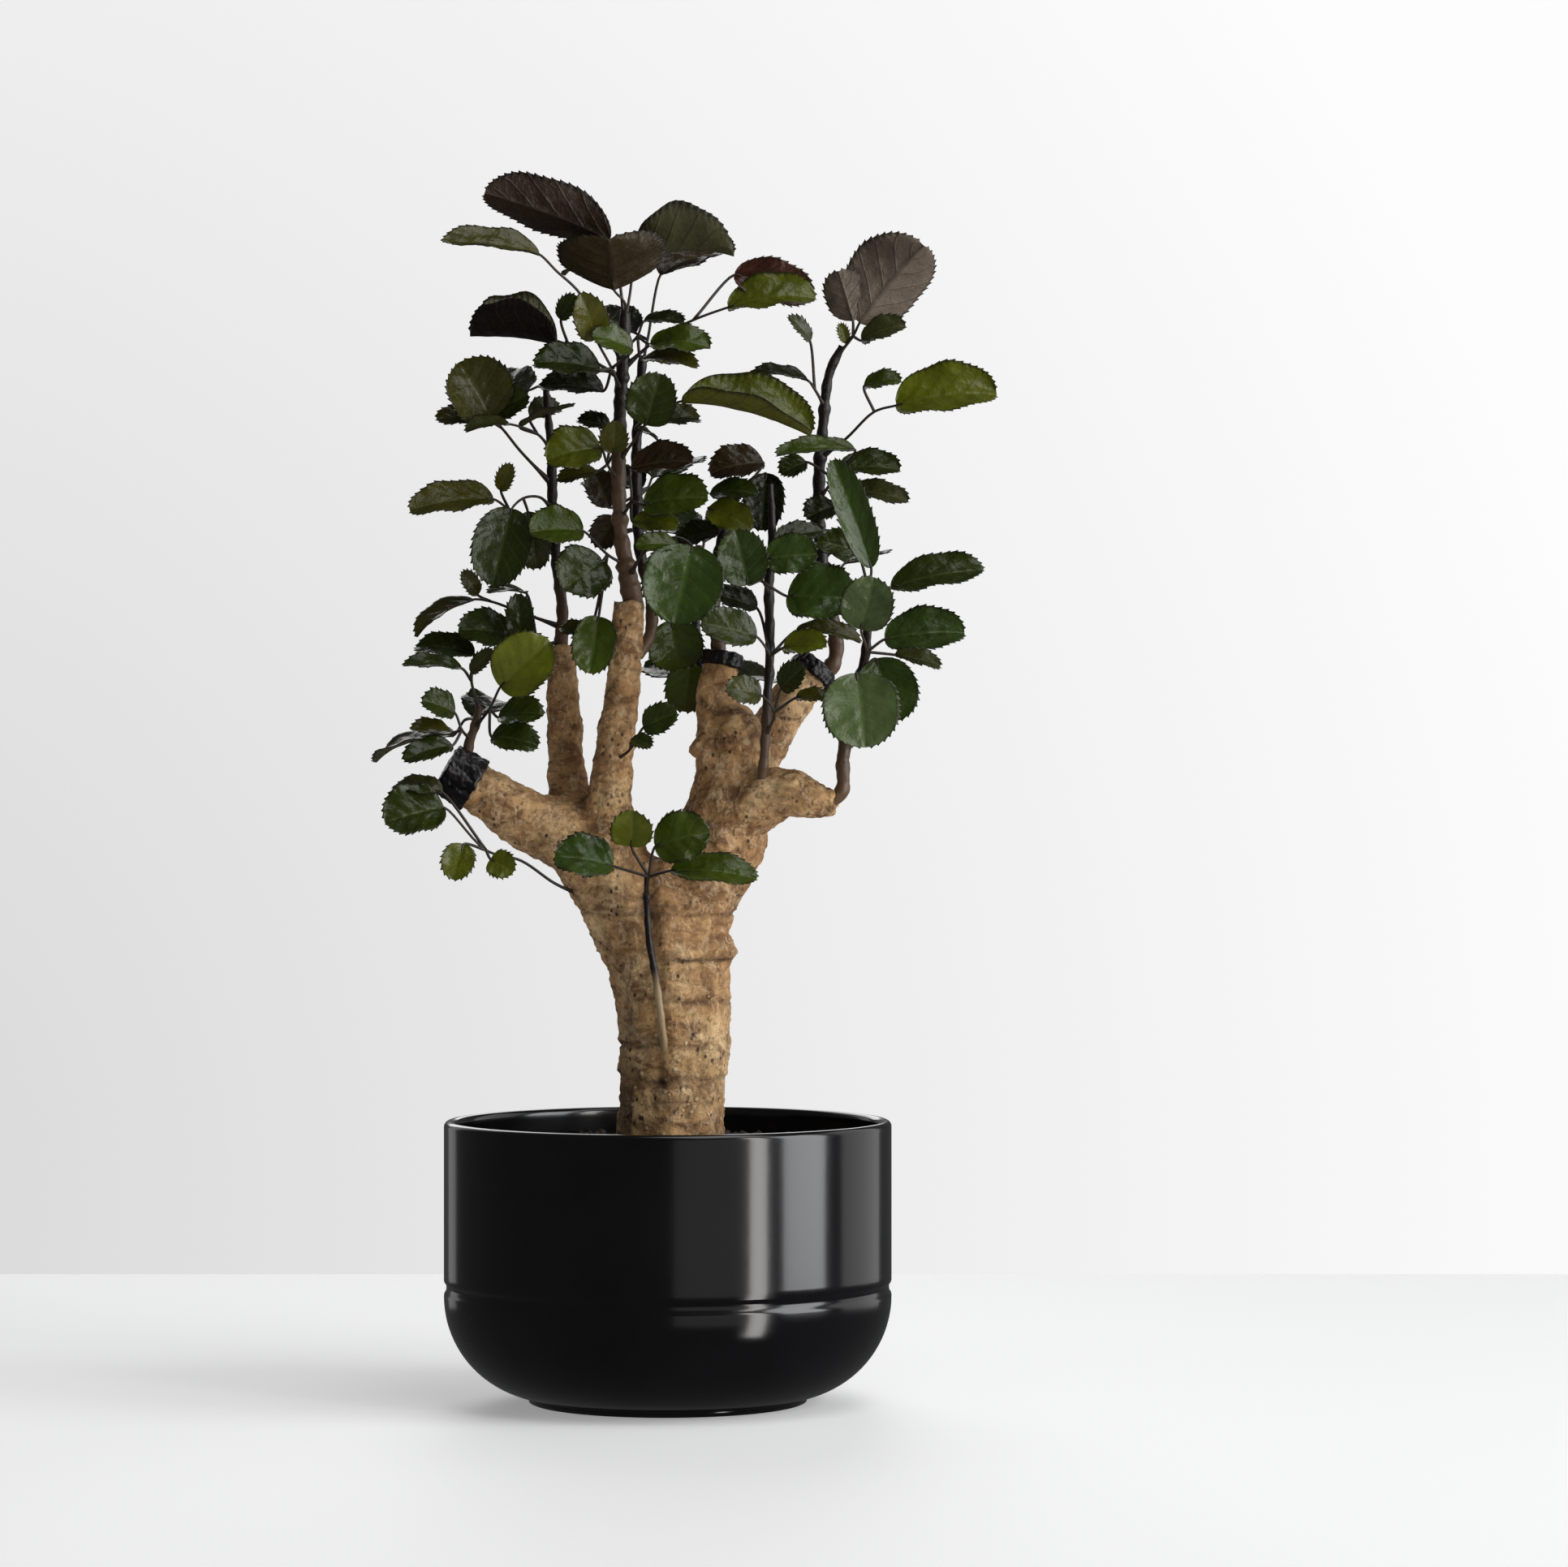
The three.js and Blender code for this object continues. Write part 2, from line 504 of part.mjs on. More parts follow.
// Each leaf is compound: one stalk, and leaflets on short stalks of their own. from is the height at
// which the stalk leaves its shoot, or the point where it leaves the bark. A leaflet is
// [base x, y, height, tip x, y, height, width, tilt, cup]: tilt 0 turns its upper face to the front,
// 90 straight up and 180 to the back; cup is the rise of its edges as a share of half the width.
const LEAVES = {
  centre_1: {
    shoot: "centre",
    from: 506,
    stalk: [[-23, -4, 528]],
    leaflets: [
      [-27, -2, 545, -86, -8, 566, 28, 145, 0.55],
      [-26, 4, 538, -50, 16, 532, 16, 60, 0.3],
    ],
  },
  centre_2: {
    shoot: "centre",
    from: 488,
    stalk: [[-30, -14, 503], [-42, -20, 520], [-51, -24, 528]],
    leaflets: [[-59, -26, 536, -104, -32, 540, 22, 60, 0.35]],
  },
  centre_3: {
    shoot: "centre",
    from: 509,
    stalk: [[-20, -8, 515]],
    leaflets: [[-25, -10, 521, -27, -30, 542, 50, 143, 0.4]],
  },
  centre_4: {
    shoot: "centre",
    from: 480,
    stalk: [[-38, -4, 490], [-46, -3, 494]],
    leaflets: [
      [-52, -2, 496, -93, -2, 499, 42, 80, 0.9],
      [-50, -10, 507, -43, -14, 518, 9, 30, 0.3],
    ],
  },
  centre_5: {
    shoot: "centre",
    from: 504,
    stalk: [[-18, 4, 520]],
    leaflets: [[-15, 6, 537, 31, 0, 540, 38, 100, 0.9]],
  },
  centre_6: {
    shoot: "centre",
    from: 494,
    stalk: [[-14, -12, 499]],
    leaflets: [
      [-11, -14, 506, 8, -22, 505, 10, 50, 0.3],
      [-8, -16, 495, 20, -24, 494, 20, 50, 0.25],
      [-12, -16, 488, 14, -26, 485, 14, 55, 0.25],
    ],
  },
  centre_7: {
    shoot: "centre",
    from: 474,
    stalk: [[-26, -12, 484]],
    leaflets: [
      [-33, -20, 497, -39, -36, 516, 16, 20, 0.3],
      [-16, -21, 492, -34, -30, 498, 16, 35, 0.25],
      [-31, -17, 483, -62, -20, 486, 24, 50, 0.3],
      [-30, -7, 474, -60, -4, 476, 20, 55, 0.3],
    ],
  },
  centre_8: {
    shoot: "centre",
    from: 484,
    stalk: [[-4, -4, 499], [12, -7, 507]],
    leaflets: [
      [28, -8, 513, 69, -14, 518, 27, 50, 0.35],
      [31, 1, 529, 68, 0, 519, 22, 25, 0.3],
    ],
  },
  centre_9: {
    shoot: "centre",
    from: 440,
    stalk: [[-15, -12, 451], [-6, -19, 462]],
    leaflets: [
      [7, -24, 468, 67, -34, 451, 37, 72, 0.7],
      [-10, -19, 457, -3, -27, 480, 23, 12, 0.3],
      [-4, -16, 459, 15, -12, 461, 16, 50, 0.3],
      [-15, -9, 456, -4, -1, 451, 9, 60, 0.2],
    ],
  },
  centre_10: {
    shoot: "centre",
    from: 414,
    stalk: [[-17, -12, 422]],
    leaflets: [
      [-17, -14, 437, 12, -22, 440, 20, 45, 0.4],
      [-11, -20, 420, 19, -28, 423, 25, 35, 0.25],
      [-16, -18, 412, 5, -24, 410, 14, 40, 0.25],
    ],
  },
  centre_11: {
    shoot: "centre",
    from: 432,
    stalk: [[-28, -12, 439]],
    leaflets: [
      [-31, -14, 447, -56, -20, 441, 25, 35, 0.3],
      [-33, -11, 436, -51, -14, 431, 11, 50, 0.25],
      [-25, -18, 444, -24, -26, 458, 13, 10, 0.2],
      [-27, -6, 457, -42, -4, 460, 12, 50, 0.3],
    ],
  },
  centre_12: {
    shoot: "centre",
    from: 392,
    stalk: [[-28, -12, 397]],
    leaflets: [
      [-39, -14, 408, -64, -20, 407, 24, 42, 0.3],
      [-30, -18, 394, -48, -28, 380, 27, 15, 0.3],
      [-32, -14, 368, -36, -22, 341, 20, 5, 0.3],
      [-37, -12, 361, -50, -8, 363, 10, 45, 0.2],
    ],
  },
  centre_13: {
    shoot: "centre",
    from: 386,
    stalk: [[-10, -22, 398], [4, -33, 404]],
    leaflets: [
      [12, -38, 400, 4, -46, 364, 37, 10, 0.3],
      [5, -37, 400, -14, -39, 400, 13, 45, 0.2],
    ],
  },
  centre_back_1: {
    shoot: "centre_back",
    from: 372,
    stalk: [[-2, 11, 374]],
    leaflets: [
      [1, 12, 367, 5, 18, 344, 26, 20, 0.25],
      [2, 16, 378, 22, 31, 382, 20, 60, 0.25],
      [10, 26, 347, 7, 26, 324, 20, 15, 0.25],
    ],
  },
  centre_back_2: {
    shoot: "centre_back",
    from: 424,
    stalk: [[-10, 20, 430]],
    leaflets: [
      [-8, 30, 436, 8, 62, 446, 30, 60, 0.25],
      [-14, 28, 430, -38, 52, 434, 26, 60, 0.25],
      [-28, 7, 420, -35, 9, 437, 15, 25, 0.3],
      [-25, 9, 416, -33, 7, 401, 14, 20, 0.3],
    ],
  },
  centre_back_3: {
    shoot: "centre_back",
    from: 486,
    stalk: [[-10, 18, 500]],
    leaflets: [
      [-4, 26, 532, 22, 46, 544, 24, 60, 0.3],
      [-16, 24, 504, -36, 44, 514, 22, 60, 0.3],
    ],
  },
  left_1: {
    shoot: "left",
    from: 432,
    stalk: [[-70, 14, 447], [-79, 11, 458]],
    leaflets: [
      [-84, 9, 462, -98, 2, 488, 32, 30, 0.5],
      [-86, 8, 462, -109, 4, 461, 14, 45, 0.3],
      [-82, 10, 464, -66, 6, 473, 17, 30, 0.35],
    ],
  },
  left_2: {
    shoot: "left",
    from: 448,
    stalk: [[-62, 12, 455]],
    leaflets: [
      [-74, 0, 459, -94, -10, 456, 12, 60, 0.3],
      [-70, 6, 458, -44, -2, 467, 13, 84, 0.25],
      [-66, 22, 464, -52, 28, 470, 13, 40, 0.3],
    ],
  },
  left_3: {
    shoot: "left",
    from: 404,
    stalk: [[-66, 14, 412], [-75, 9, 419]],
    leaflets: [
      [-82, 5, 424, -121, -4, 418, 22, 48, 0.3],
      [-79, 8, 428, -74, 2, 440, 8, 20, 0.2],
    ],
  },
  left_4: {
    shoot: "left",
    from: 420,
    stalk: [[-61, 8, 425], [-68, 1, 424]],
    leaflets: [
      [-73, -4, 419, -82, -10, 383, 27, 0, 0.3],
      [-66, 4, 418, -62, 8, 391, 16, 20, 0.25],
    ],
  },
  left_5: {
    shoot: "left",
    from: 364,
    stalk: [[-70, 18, 371], [-84, 14, 376]],
    leaflets: [
      [-92, 9, 377, -119, 2, 361, 20, 78, 0.3],
      [-90, 13, 379, -97, 8, 390, 8, 30, 0.2],
    ],
  },
  left_6: {
    shoot: "left",
    from: 357,
    stalk: [[-62, 14, 356]],
    leaflets: [
      [-73, 8, 359, -98, 0, 363, 22, 38, 0.25],
      [-69, 4, 356, -70, -4, 379, 13, 10, 0.25],
      [-67, 12, 380, -84, 0, 380, 12, 72, 0.25],
    ],
  },
  left_7: {
    shoot: "left",
    from: 474,
    stalk: [[-61, 30, 479]],
    leaflets: [
      [-68, 40, 478, -90, 64, 485, 26, 65, 0.25],
      [-52, 34, 484, -34, 66, 488, 26, 60, 0.25],
    ],
  },
  far_left_1: {
    shoot: "far_left",
    from: 316,
    stalk: [[-83, -12, 325]],
    leaflets: [
      [-78, -15, 335, -55, -22, 356, 28, 12, 0.3],
      [-79, -14, 321, -58, -20, 323, 18, 45, 0.25],
      [-82, -16, 312, -60, -22, 308, 17, 40, 0.25],
    ],
  },
  far_left_2: {
    shoot: "far_left",
    from: 325,
    stalk: [[-92, -4, 338]],
    leaflets: [
      [-91, 2, 351, -119, 8, 355, 17, 50, 0.25],
      [-96, -8, 344, -123, -14, 345, 14, 62, 0.3],
      [-92, -8, 342, -81, -14, 352, 8, 30, 0.2],
    ],
  },
  far_left_3: {
    shoot: "far_left",
    from: 311,
    stalk: [[-96, -12, 315]],
    leaflets: [
      [-99, -13, 323, -114, -18, 329, 16, 40, 0.25],
      [-101, -12, 314, -119, -18, 316, 12, 55, 0.25],
      [-100, -17, 308, -122, -26, 301, 14, 45, 0.25],
    ],
  },
  far_left_4: {
    shoot: "far_left",
    from: 320,
    stalk: [[-96, 10, 320]],
    leaflets: [
      [-102, 18, 313, -141, 36, 303, 24, 70, 0.25],
      [-92, 20, 322, -78, 48, 330, 26, 60, 0.25],
    ],
  },
  low_left: {
    bark: [-36, -4, 236],
    stalk: [[-52, -12, 243], [-68, -18, 254], [-84, -24, 259]],
    leaflets: [
      [-103, -30, 279, -130, -38, 272, 28, 35, 0.3],
      [-104, -28, 286, -127, -22, 288, 15, 60, 0.3],
      [-94, -28, 262, -99, -34, 246, 15, 5, 0.25],
      [-82, -26, 255, -71, -32, 249, 13, 10, 0.25],
    ],
  },
  front_low: {
    shoot: "front_low",
    from: 238,
    stalk: [[-8, -41, 247]],
    leaflets: [
      [-5, -44, 261, 20, -50, 268, 24, 20, 0.25],
      [2, -44, 250, 42, -52, 246, 20, 50, 0.25],
      [-24, -44, 252, -51, -46, 257, 24, 40, 0.25],
      [-16, -45, 261, -15, -54, 277, 19, 5, 0.2],
    ],
  },
  middle_front: {
    bark: [-24, -12, 301],
    stalk: [[-17, -23, 306]],
    leaflets: [
      [-11, -26, 316, 5, -32, 323, 14, 20, 0.25],
      [-16, -26, 311, -7, -34, 307, 8, 30, 0.2],
    ],
  },
  right_1: {
    shoot: "right",
    from: 492,
    stalk: [[87, 11, 501]],
    leaflets: [
      [90, 8, 507, 120, -2, 543, 38, 150, 0.6],
      [87, 8, 508, 80, 2, 531, 20, 155, 0.4],
      [91, 10, 499, 111, 2, 506, 15, 40, 0.3],
      [84, 14, 498, 81, 12, 507, 5, 20, 0.3],
    ],
  },
  right_2: {
    shoot: "right",
    from: 468,
    stalk: [[69, 12, 476]],
    leaflets: [
      [66, 8, 480, 39, 0, 483, 13, 62, 0.3],
      [67, 14, 499, 57, 8, 510, 8, 40, 0.3],
    ],
  },
  right_3: {
    shoot: "right",
    from: 444,
    stalk: [[84, 12, 453], [97, 6, 465]],
    leaflets: [
      [107, 4, 468, 154, -6, 473, 32, 42, 0.35],
      [92, 4, 477, 109, -2, 480, 12, 45, 0.25],
    ],
  },
  right_4: {
    shoot: "right",
    from: 424,
    stalk: [[78, 13, 434]],
    leaflets: [
      [80, 9, 438, 109, 4, 438, 20, 50, 0.3],
      [84, 9, 428, 113, 6, 423, 15, 50, 0.3],
      [88, 3, 447, 51, -5, 444, 16, 60, 0.3],
      [79, 10, 421, 65, 6, 415, 15, 40, 0.3],
      [65, 13, 442, 53, 11, 436, 12, 35, 0.3],
    ],
  },
  right_5: {
    shoot: "right",
    from: 384,
    stalk: [[80, 36, 391]],
    leaflets: [
      [84, 44, 396, 97, 70, 402, 28, 62, 0.25],
      [74, 44, 397, 56, 74, 403, 28, 60, 0.25],
    ],
  },
  middle_1: {
    shoot: "middle",
    from: 410,
    stalk: [[31, 1, 422]],
    leaflets: [
      [45, 2, 441, 20, -5, 436, 20, 40, 0.35],
      [20, -6, 426, 42, -12, 426, 14, 45, 0.25],
      [19, -8, 419, 39, -16, 409, 17, 30, 0.25],
      [46, 3, 436, 44, -1, 409, 19, 15, 0.3],
      [24, 1, 409, 4, 2, 403, 15, 45, 0.3],
    ],
  },
  front_right_1: {
    shoot: "front_right",
    from: 378,
    stalk: [[44, -30, 384]],
    leaflets: [
      [38, -34, 382, 32, -40, 407, 23, 0, 0.3],
      [46, -32, 394, 70, -36, 396, 20, 22, 0.25],
      [56, -28, 377, 87, -36, 375, 30, 28, 0.3],
      [51, -29, 403, 73, -19, 407, 14, 50, 0.3],
    ],
  },
  front_right_2: {
    shoot: "front_right",
    from: 340,
    stalk: [[48, -32, 349]],
    leaflets: [
      [42, -36, 358, 16, -42, 364, 18, 25, 0.3],
      [54, -34, 353, 74, -42, 354, 15, 40, 0.3],
      [60, -28, 361, 90, -30, 357, 14, 60, 0.35],
      [42, -14, 372, 22, -12, 378, 14, 45, 0.3],
    ],
  },
  front_right_3: {
    shoot: "front_right",
    from: 312,
    stalk: [[50, -32, 323]],
    leaflets: [
      [44, -34, 331, 28, -40, 334, 14, 25, 0.25],
      [60, -33, 330, 75, -38, 330, 9, 45, 0.25],
      [53, -34, 334, 64, -42, 344, 13, 25, 0.25],
    ],
  },
  far_right_1: {
    shoot: "far_right",
    from: 368,
    stalk: [[94, -26, 380]],
    leaflets: [
      [95, -30, 390, 77, -32, 440, 16, 20, 0.5],
      [104, -24, 381, 147, -30, 389, 22, 45, 0.3],
      [88, -14, 399, 70, -10, 403, 15, 35, 0.3],
    ],
  },
  far_right_2: {
    shoot: "far_right",
    from: 340,
    stalk: [[93, -30, 351]],
    leaflets: [
      [90, -40, 361, 96, -48, 385, 24, 5, 0.25],
      [101, -32, 357, 138, -36, 360, 25, 38, 0.3],
      [106, -26, 350, 127, -24, 344, 12, 50, 0.35],
    ],
  },
  far_right_3: {
    shoot: "far_right",
    from: 330,
    stalk: [[87, -29, 338]],
    leaflets: [
      [88, -38, 341, 92, -46, 307, 35, 5, 0.25],
      [97, -27, 348, 107, -24, 319, 28, 8, 0.3],
    ],
  },
  back_1: {
    shoot: "back",
    from: 330,
    stalk: [[14, 50, 336]],
    leaflets: [
      [10, 58, 340, -14, 84, 346, 30, 60, 0.25],
      [20, 58, 338, 50, 78, 342, 28, 60, 0.25],
    ],
  },
  back_2: {
    shoot: "back",
    from: 396,
    stalk: [[16, 52, 406]],
    leaflets: [
      [12, 60, 410, -18, 88, 414, 32, 60, 0.25],
      [22, 58, 410, 44, 86, 418, 30, 60, 0.25],
    ],
  },
};

const LEAF_STATIONS = [0.07, 0.3, 0.68, 0.93]; // shares of the length between base and tip
const ARCH = 0.06; // rise of the middle of a leaflet, as a share of its length
const STALK_IN_BLADE = 4; // length of stalk that runs on under the blade

const LEAF_BLUNTNESS = 2.4; // 2 makes an ellipse, more a blunter oval

/** Half width of a leaflet at the share t of its length, as a share of the widest. */
const leafletShape = (t) => Math.sqrt(1 - Math.abs(2 * t - 1) ** LEAF_BLUNTNESS);

/** The axes of a leaflet: its base, its direction, its sideways direction and its upper face. */
function leafletFrame(row) {
  const base = placed(row.slice(0, 3));
  const along = placed(row.slice(3, 6)).sub(base);
  const length = along.length();
  along.normalize();
  const tilt = radians(row[7]);
  const up = new THREE.Vector3(0, -Math.cos(tilt), Math.sin(tilt));
  const across = new THREE.Vector3().crossVectors(along, up).normalize();
  up.crossVectors(across, along);
  return { base, along, across, up, length };
}

/** The point of a leaflet at the share t of its length and s of its half width, raised by lift. */
function bladePoint(row, t, s, lift) {
  const { base, along, across, up, length } = leafletFrame(row);
  const wide = (row[6] / 2) * growth * leafletShape(t);
  const rise = row[8] * wide * s * s + ARCH * length * 4 * t * (1 - t) + lift;
  const point = base.clone().addScaledVector(along, t * length);
  return point.addScaledVector(across, s * wide).addScaledVector(up, rise);
}

/** A leaflet's blade: two skins, thickest along the midrib, that meet in a fine edge. */
function blade(row) {
  const half = LEAF_THICKNESS / 2;
  const inner = LEAF_STATIONS.flatMap((t) => [
    bladePoint(row, t, -1, 0),
    bladePoint(row, t, 1, 0),
    bladePoint(row, t, 0, half),
    bladePoint(row, t, 0, -half),
  ]);
  const points = [bladePoint(row, 0, 0, 0), ...inner, bladePoint(row, 1, 0, 0)];
  const tip = points.length - 1;
  const [left, right, top, under] = [0, 1, 2, 3].map((k) => (i) => 1 + 4 * i + k);
  const ring = (i) => [left(i), top(i), right(i), under(i)];
  const last = LEAF_STATIONS.length - 1;
  const index = [];
  for (let k = 0; k < 4; k++) {
    const next = (k + 1) % 4;
    index.push(0, ring(0)[k], ring(0)[next], tip, ring(last)[next], ring(last)[k]);
    for (let i = 0; i < last; i++) {
      index.push(ring(i)[k], ring(i + 1)[k], ring(i)[next]);
      index.push(ring(i)[next], ring(i + 1)[k], ring(i + 1)[next]);
    }
  }
  return closedSolid(points, index);
}

/** The point on a shoot's middle line nearest to a height drawn in the tables. */
function shootPoint(shoot, height) {
  const curve = shootCurve(shoot);
  const level = placed([0, 0, height]).z;
  let best = curve.getPointAt(0);
  for (let i = 1; i <= CURVE_SAMPLES; i++) {
    const point = curve.getPointAt(i / CURVE_SAMPLES);
    if (Math.abs(point.z - level) < Math.abs(best.z - level)) best = point;
  }
  return best;
}

/** A solid with its sealed pockets filled, such as a sliver shut in where two leaflets cross. */
function withoutPockets(solid) {
  return joined(solid.decompose().filter((shell) => shell.volume() > 0));
}

function leafSolid(leaf, barkHull) {
  const root = leaf.shoot ? shootPoint(SHOOTS[leaf.shoot], leaf.from) : placed(leaf.bark);
  const stalk = [root, ...leaf.stalk.map(placed)];
  const radius = (PETIOLE_DIAMETER / 2) * growth;
  const pieces = leaf.leaflets.map((row, i) => {
    const { base, length } = leafletFrame(row);
    const inBlade = bladePoint(row, (STALK_IN_BLADE * growth) / length, 0, 0);
    const path = i ? [stalk.at(-1), base, inBlade] : [...stalk, base, inBlade];
    return tube(path, path.map(() => radius), PETIOLE_SIDES).add(blade(row));
  });
  const shoot = leaf.shoot ? [shootWith(SHOOTS[leaf.shoot], CLEARANCE)] : [];
  return withoutPockets(joined(pieces).subtract(joined([barkHull, ...shoot])));
}

// ---------------------------------------------------------------- the whole plant

const part = new THREE.Group();
part.name = "potted_bonsai";

const barkHull = trunkWith(CLEARANCE);
part.add(meshOf("planter_pot", planterPot(), GLAZE.clone()));
part.add(meshOf("potting_soil", pottingSoil(), SOIL.clone()));
part.add(meshOf("trunk", trunkWith(0), BARK.clone()));

for (const [name, cap] of Object.entries(WAX_CAPS)) {
  part.add(meshOf(name, waxCap(cap, barkHull), WAX.clone()));
}

for (const [name, shoot] of Object.entries(SHOOTS)) {
  part.add(meshOf(`shoot_${name}`, shootWith(shoot, 0).subtract(barkHull), STEM.clone()));
}

for (const [name, leaf] of Object.entries(LEAVES)) {
  part.add(meshOf(`leaf_${name}`, leafSolid(leaf, barkHull), LEAF.clone()));
}

export default part;
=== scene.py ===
"""A pruned aralia stump grown as a bonsai, with its shoots and leaves, in a round black planter."""

import math
import random

import bmesh
import bpy
import numpy as np
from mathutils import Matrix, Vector, noise


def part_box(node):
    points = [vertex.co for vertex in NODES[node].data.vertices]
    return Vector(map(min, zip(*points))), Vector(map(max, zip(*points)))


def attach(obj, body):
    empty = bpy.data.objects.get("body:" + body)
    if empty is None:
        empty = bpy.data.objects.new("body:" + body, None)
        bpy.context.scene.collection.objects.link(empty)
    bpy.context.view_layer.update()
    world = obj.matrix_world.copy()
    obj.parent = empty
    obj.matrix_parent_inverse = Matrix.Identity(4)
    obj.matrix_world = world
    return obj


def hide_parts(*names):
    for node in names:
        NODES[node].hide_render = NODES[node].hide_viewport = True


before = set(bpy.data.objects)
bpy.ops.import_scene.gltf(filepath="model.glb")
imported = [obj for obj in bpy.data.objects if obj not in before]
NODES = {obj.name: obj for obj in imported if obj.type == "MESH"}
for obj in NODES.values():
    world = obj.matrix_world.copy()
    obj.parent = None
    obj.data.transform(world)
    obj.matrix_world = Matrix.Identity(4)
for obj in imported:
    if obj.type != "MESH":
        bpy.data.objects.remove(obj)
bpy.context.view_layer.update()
MM = 0.001


def box_mm(node):
    low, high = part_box(node)
    return [v / MM for v in low], [v / MM for v in high]


# ---------------- camera

CAMERA_DISTANCE = 2.4
CAMERA_SIDE = 0.0545  # to the right of the planter's axis
CAMERA_HEIGHT = 0.29
CAMERA_LENS = 117.35
SENSOR_WIDTH = 36


def make_camera():
    data = bpy.data.cameras.new("camera")
    data.lens = CAMERA_LENS
    data.sensor_width = SENSOR_WIDTH
    camera = bpy.data.objects.new("camera", data)
    camera.location = (CAMERA_SIDE, -CAMERA_DISTANCE, CAMERA_HEIGHT)
    camera.rotation_euler = (math.pi / 2, 0, 0)
    bpy.context.scene.collection.objects.link(camera)
    bpy.context.scene.camera = camera
    bpy.context.scene.view_settings.view_transform = "Standard"


make_camera()


# ---------------- material tools


class Shader:
    """A new material and short ways to add nodes to it."""

    def __init__(self, name, **settings):
        self.material = bpy.data.materials.new(name)
        self.material.use_nodes = True
        self.tree = self.material.node_tree
        self.surface = self.tree.nodes["Principled BSDF"]
        for key, value in settings.items():
            self.surface.inputs[key.replace("_", " ")].default_value = value

    def node(self, kind, inputs=None, **settings):
        made = self.tree.nodes.new("ShaderNode" + kind)
        for key, value in settings.items():
            setattr(made, key, value)
        for key, value in (inputs or {}).items():
            if isinstance(value, bpy.types.NodeSocket):
                self.tree.links.new(value, made.inputs[key])
            else:
                made.inputs[key].default_value = value
        return made

    def math(self, operation, a, b=0.0, c=0.0):
        return self.node("Math", {0: a, 1: b, 2: c}, operation=operation).outputs[0]

    def mix(self, factor, a, b, blend="MIX"):
        made = self.node("Mix", data_type="RGBA", blend_type=blend)
        for index, value in ((0, factor), (6, a), (7, b)):
            if isinstance(value, bpy.types.NodeSocket):
                self.tree.links.new(value, made.inputs[index])
            else:
                made.inputs[index].default_value = value
        return made.outputs[2]

    def ramp(self, value, *stops):
        made = self.node("ValToRGB", {"Fac": value})
        elements = made.color_ramp.elements
        while len(elements) < len(stops):
            elements.new(0.5)
        for element, (position, colour) in zip(elements, stops):
            element.position = position
            element.color = colour
        return made.outputs["Color"]

    def noise(self, scale, detail=4.0, roughness=0.55, stretch=(1, 1, 1), distortion=0.0):
        place = self.node("TexCoord").outputs["Object"]
        place = self.node("Mapping", {"Vector": place, "Scale": stretch}).outputs[0]
        made = self.node("TexNoise", {"Vector": place, "Scale": scale, "Detail": detail})
        made.inputs["Roughness"].default_value = roughness
        made.inputs["Distortion"].default_value = distortion
        return made.outputs["Fac"]

    def cells(self, scale, feature="F1", stretch=(1, 1, 1)):
        place = self.node("TexCoord").outputs["Object"]
        place = self.node("Mapping", {"Vector": place, "Scale": stretch}).outputs[0]
        made = self.node("TexVoronoi", {"Vector": place, "Scale": scale}, feature=feature)
        return made.outputs["Distance"]

    def bump(self, height, strength, distance):
        made = self.node("Bump", {"Height": height, "Strength": strength, "Distance": distance})
        if self.surface.inputs["Normal"].links:
            self.tree.links.new(self.surface.inputs["Normal"].links[0].from_socket, made.inputs["Normal"])
        self.tree.links.new(made.outputs[0], self.surface.inputs["Normal"])

    def set(self, name, socket):
        self.tree.links.new(socket, self.surface.inputs[name])


def grey(value):
    return (value, value, value, 1)


# ---------------- materials


def glaze_material():
    s = Shader("black_glaze", Roughness=0.17, Coat_Weight=0.35, Coat_Roughness=0.1)
    cloud = s.noise(18, 3)
    s.set("Base Color", s.ramp(cloud, (0.3, (0.0015, 0.0015, 0.002, 1)), (0.75, (0.004, 0.004, 0.005, 1))))
    s.bump(s.noise(55, 2), 0.05, 0.001)
    s.bump(s.noise(420, 2), 0.02, 0.0004)
    return s.material


def soil_material():
    s = Shader("potting_soil", Roughness=0.95)
    grain = s.noise(260, 8, 0.7)
    patch = s.noise(60, 4)
    black, brown, dry = (0.004, 0.003, 0.002, 1), (0.022, 0.013, 0.008, 1), (0.06, 0.036, 0.02, 1)
    dark = s.ramp(grain, (0.3, black), (0.62, brown), (0.8, dry))
    s.set("Base Color", s.mix(s.math("MULTIPLY", patch, 0.5), dark, (0.012, 0.007, 0.004, 1)))
    s.bump(grain, 0.8, 0.002)
    s.bump(s.cells(420), 0.5, 0.001)
    return s.material


def chip_material(name, light, dark, roughness):
    s = Shader(name, Roughness=roughness)
    s.set("Base Color", s.ramp(s.noise(300, 6, 0.7), (0.3, dark), (0.7, light)))
    s.bump(s.noise(700, 5), 0.6, 0.0006)
    return s.material


WARTS_BELOW = 0.175  # pale warts grow on the trunk up to this height, in metres


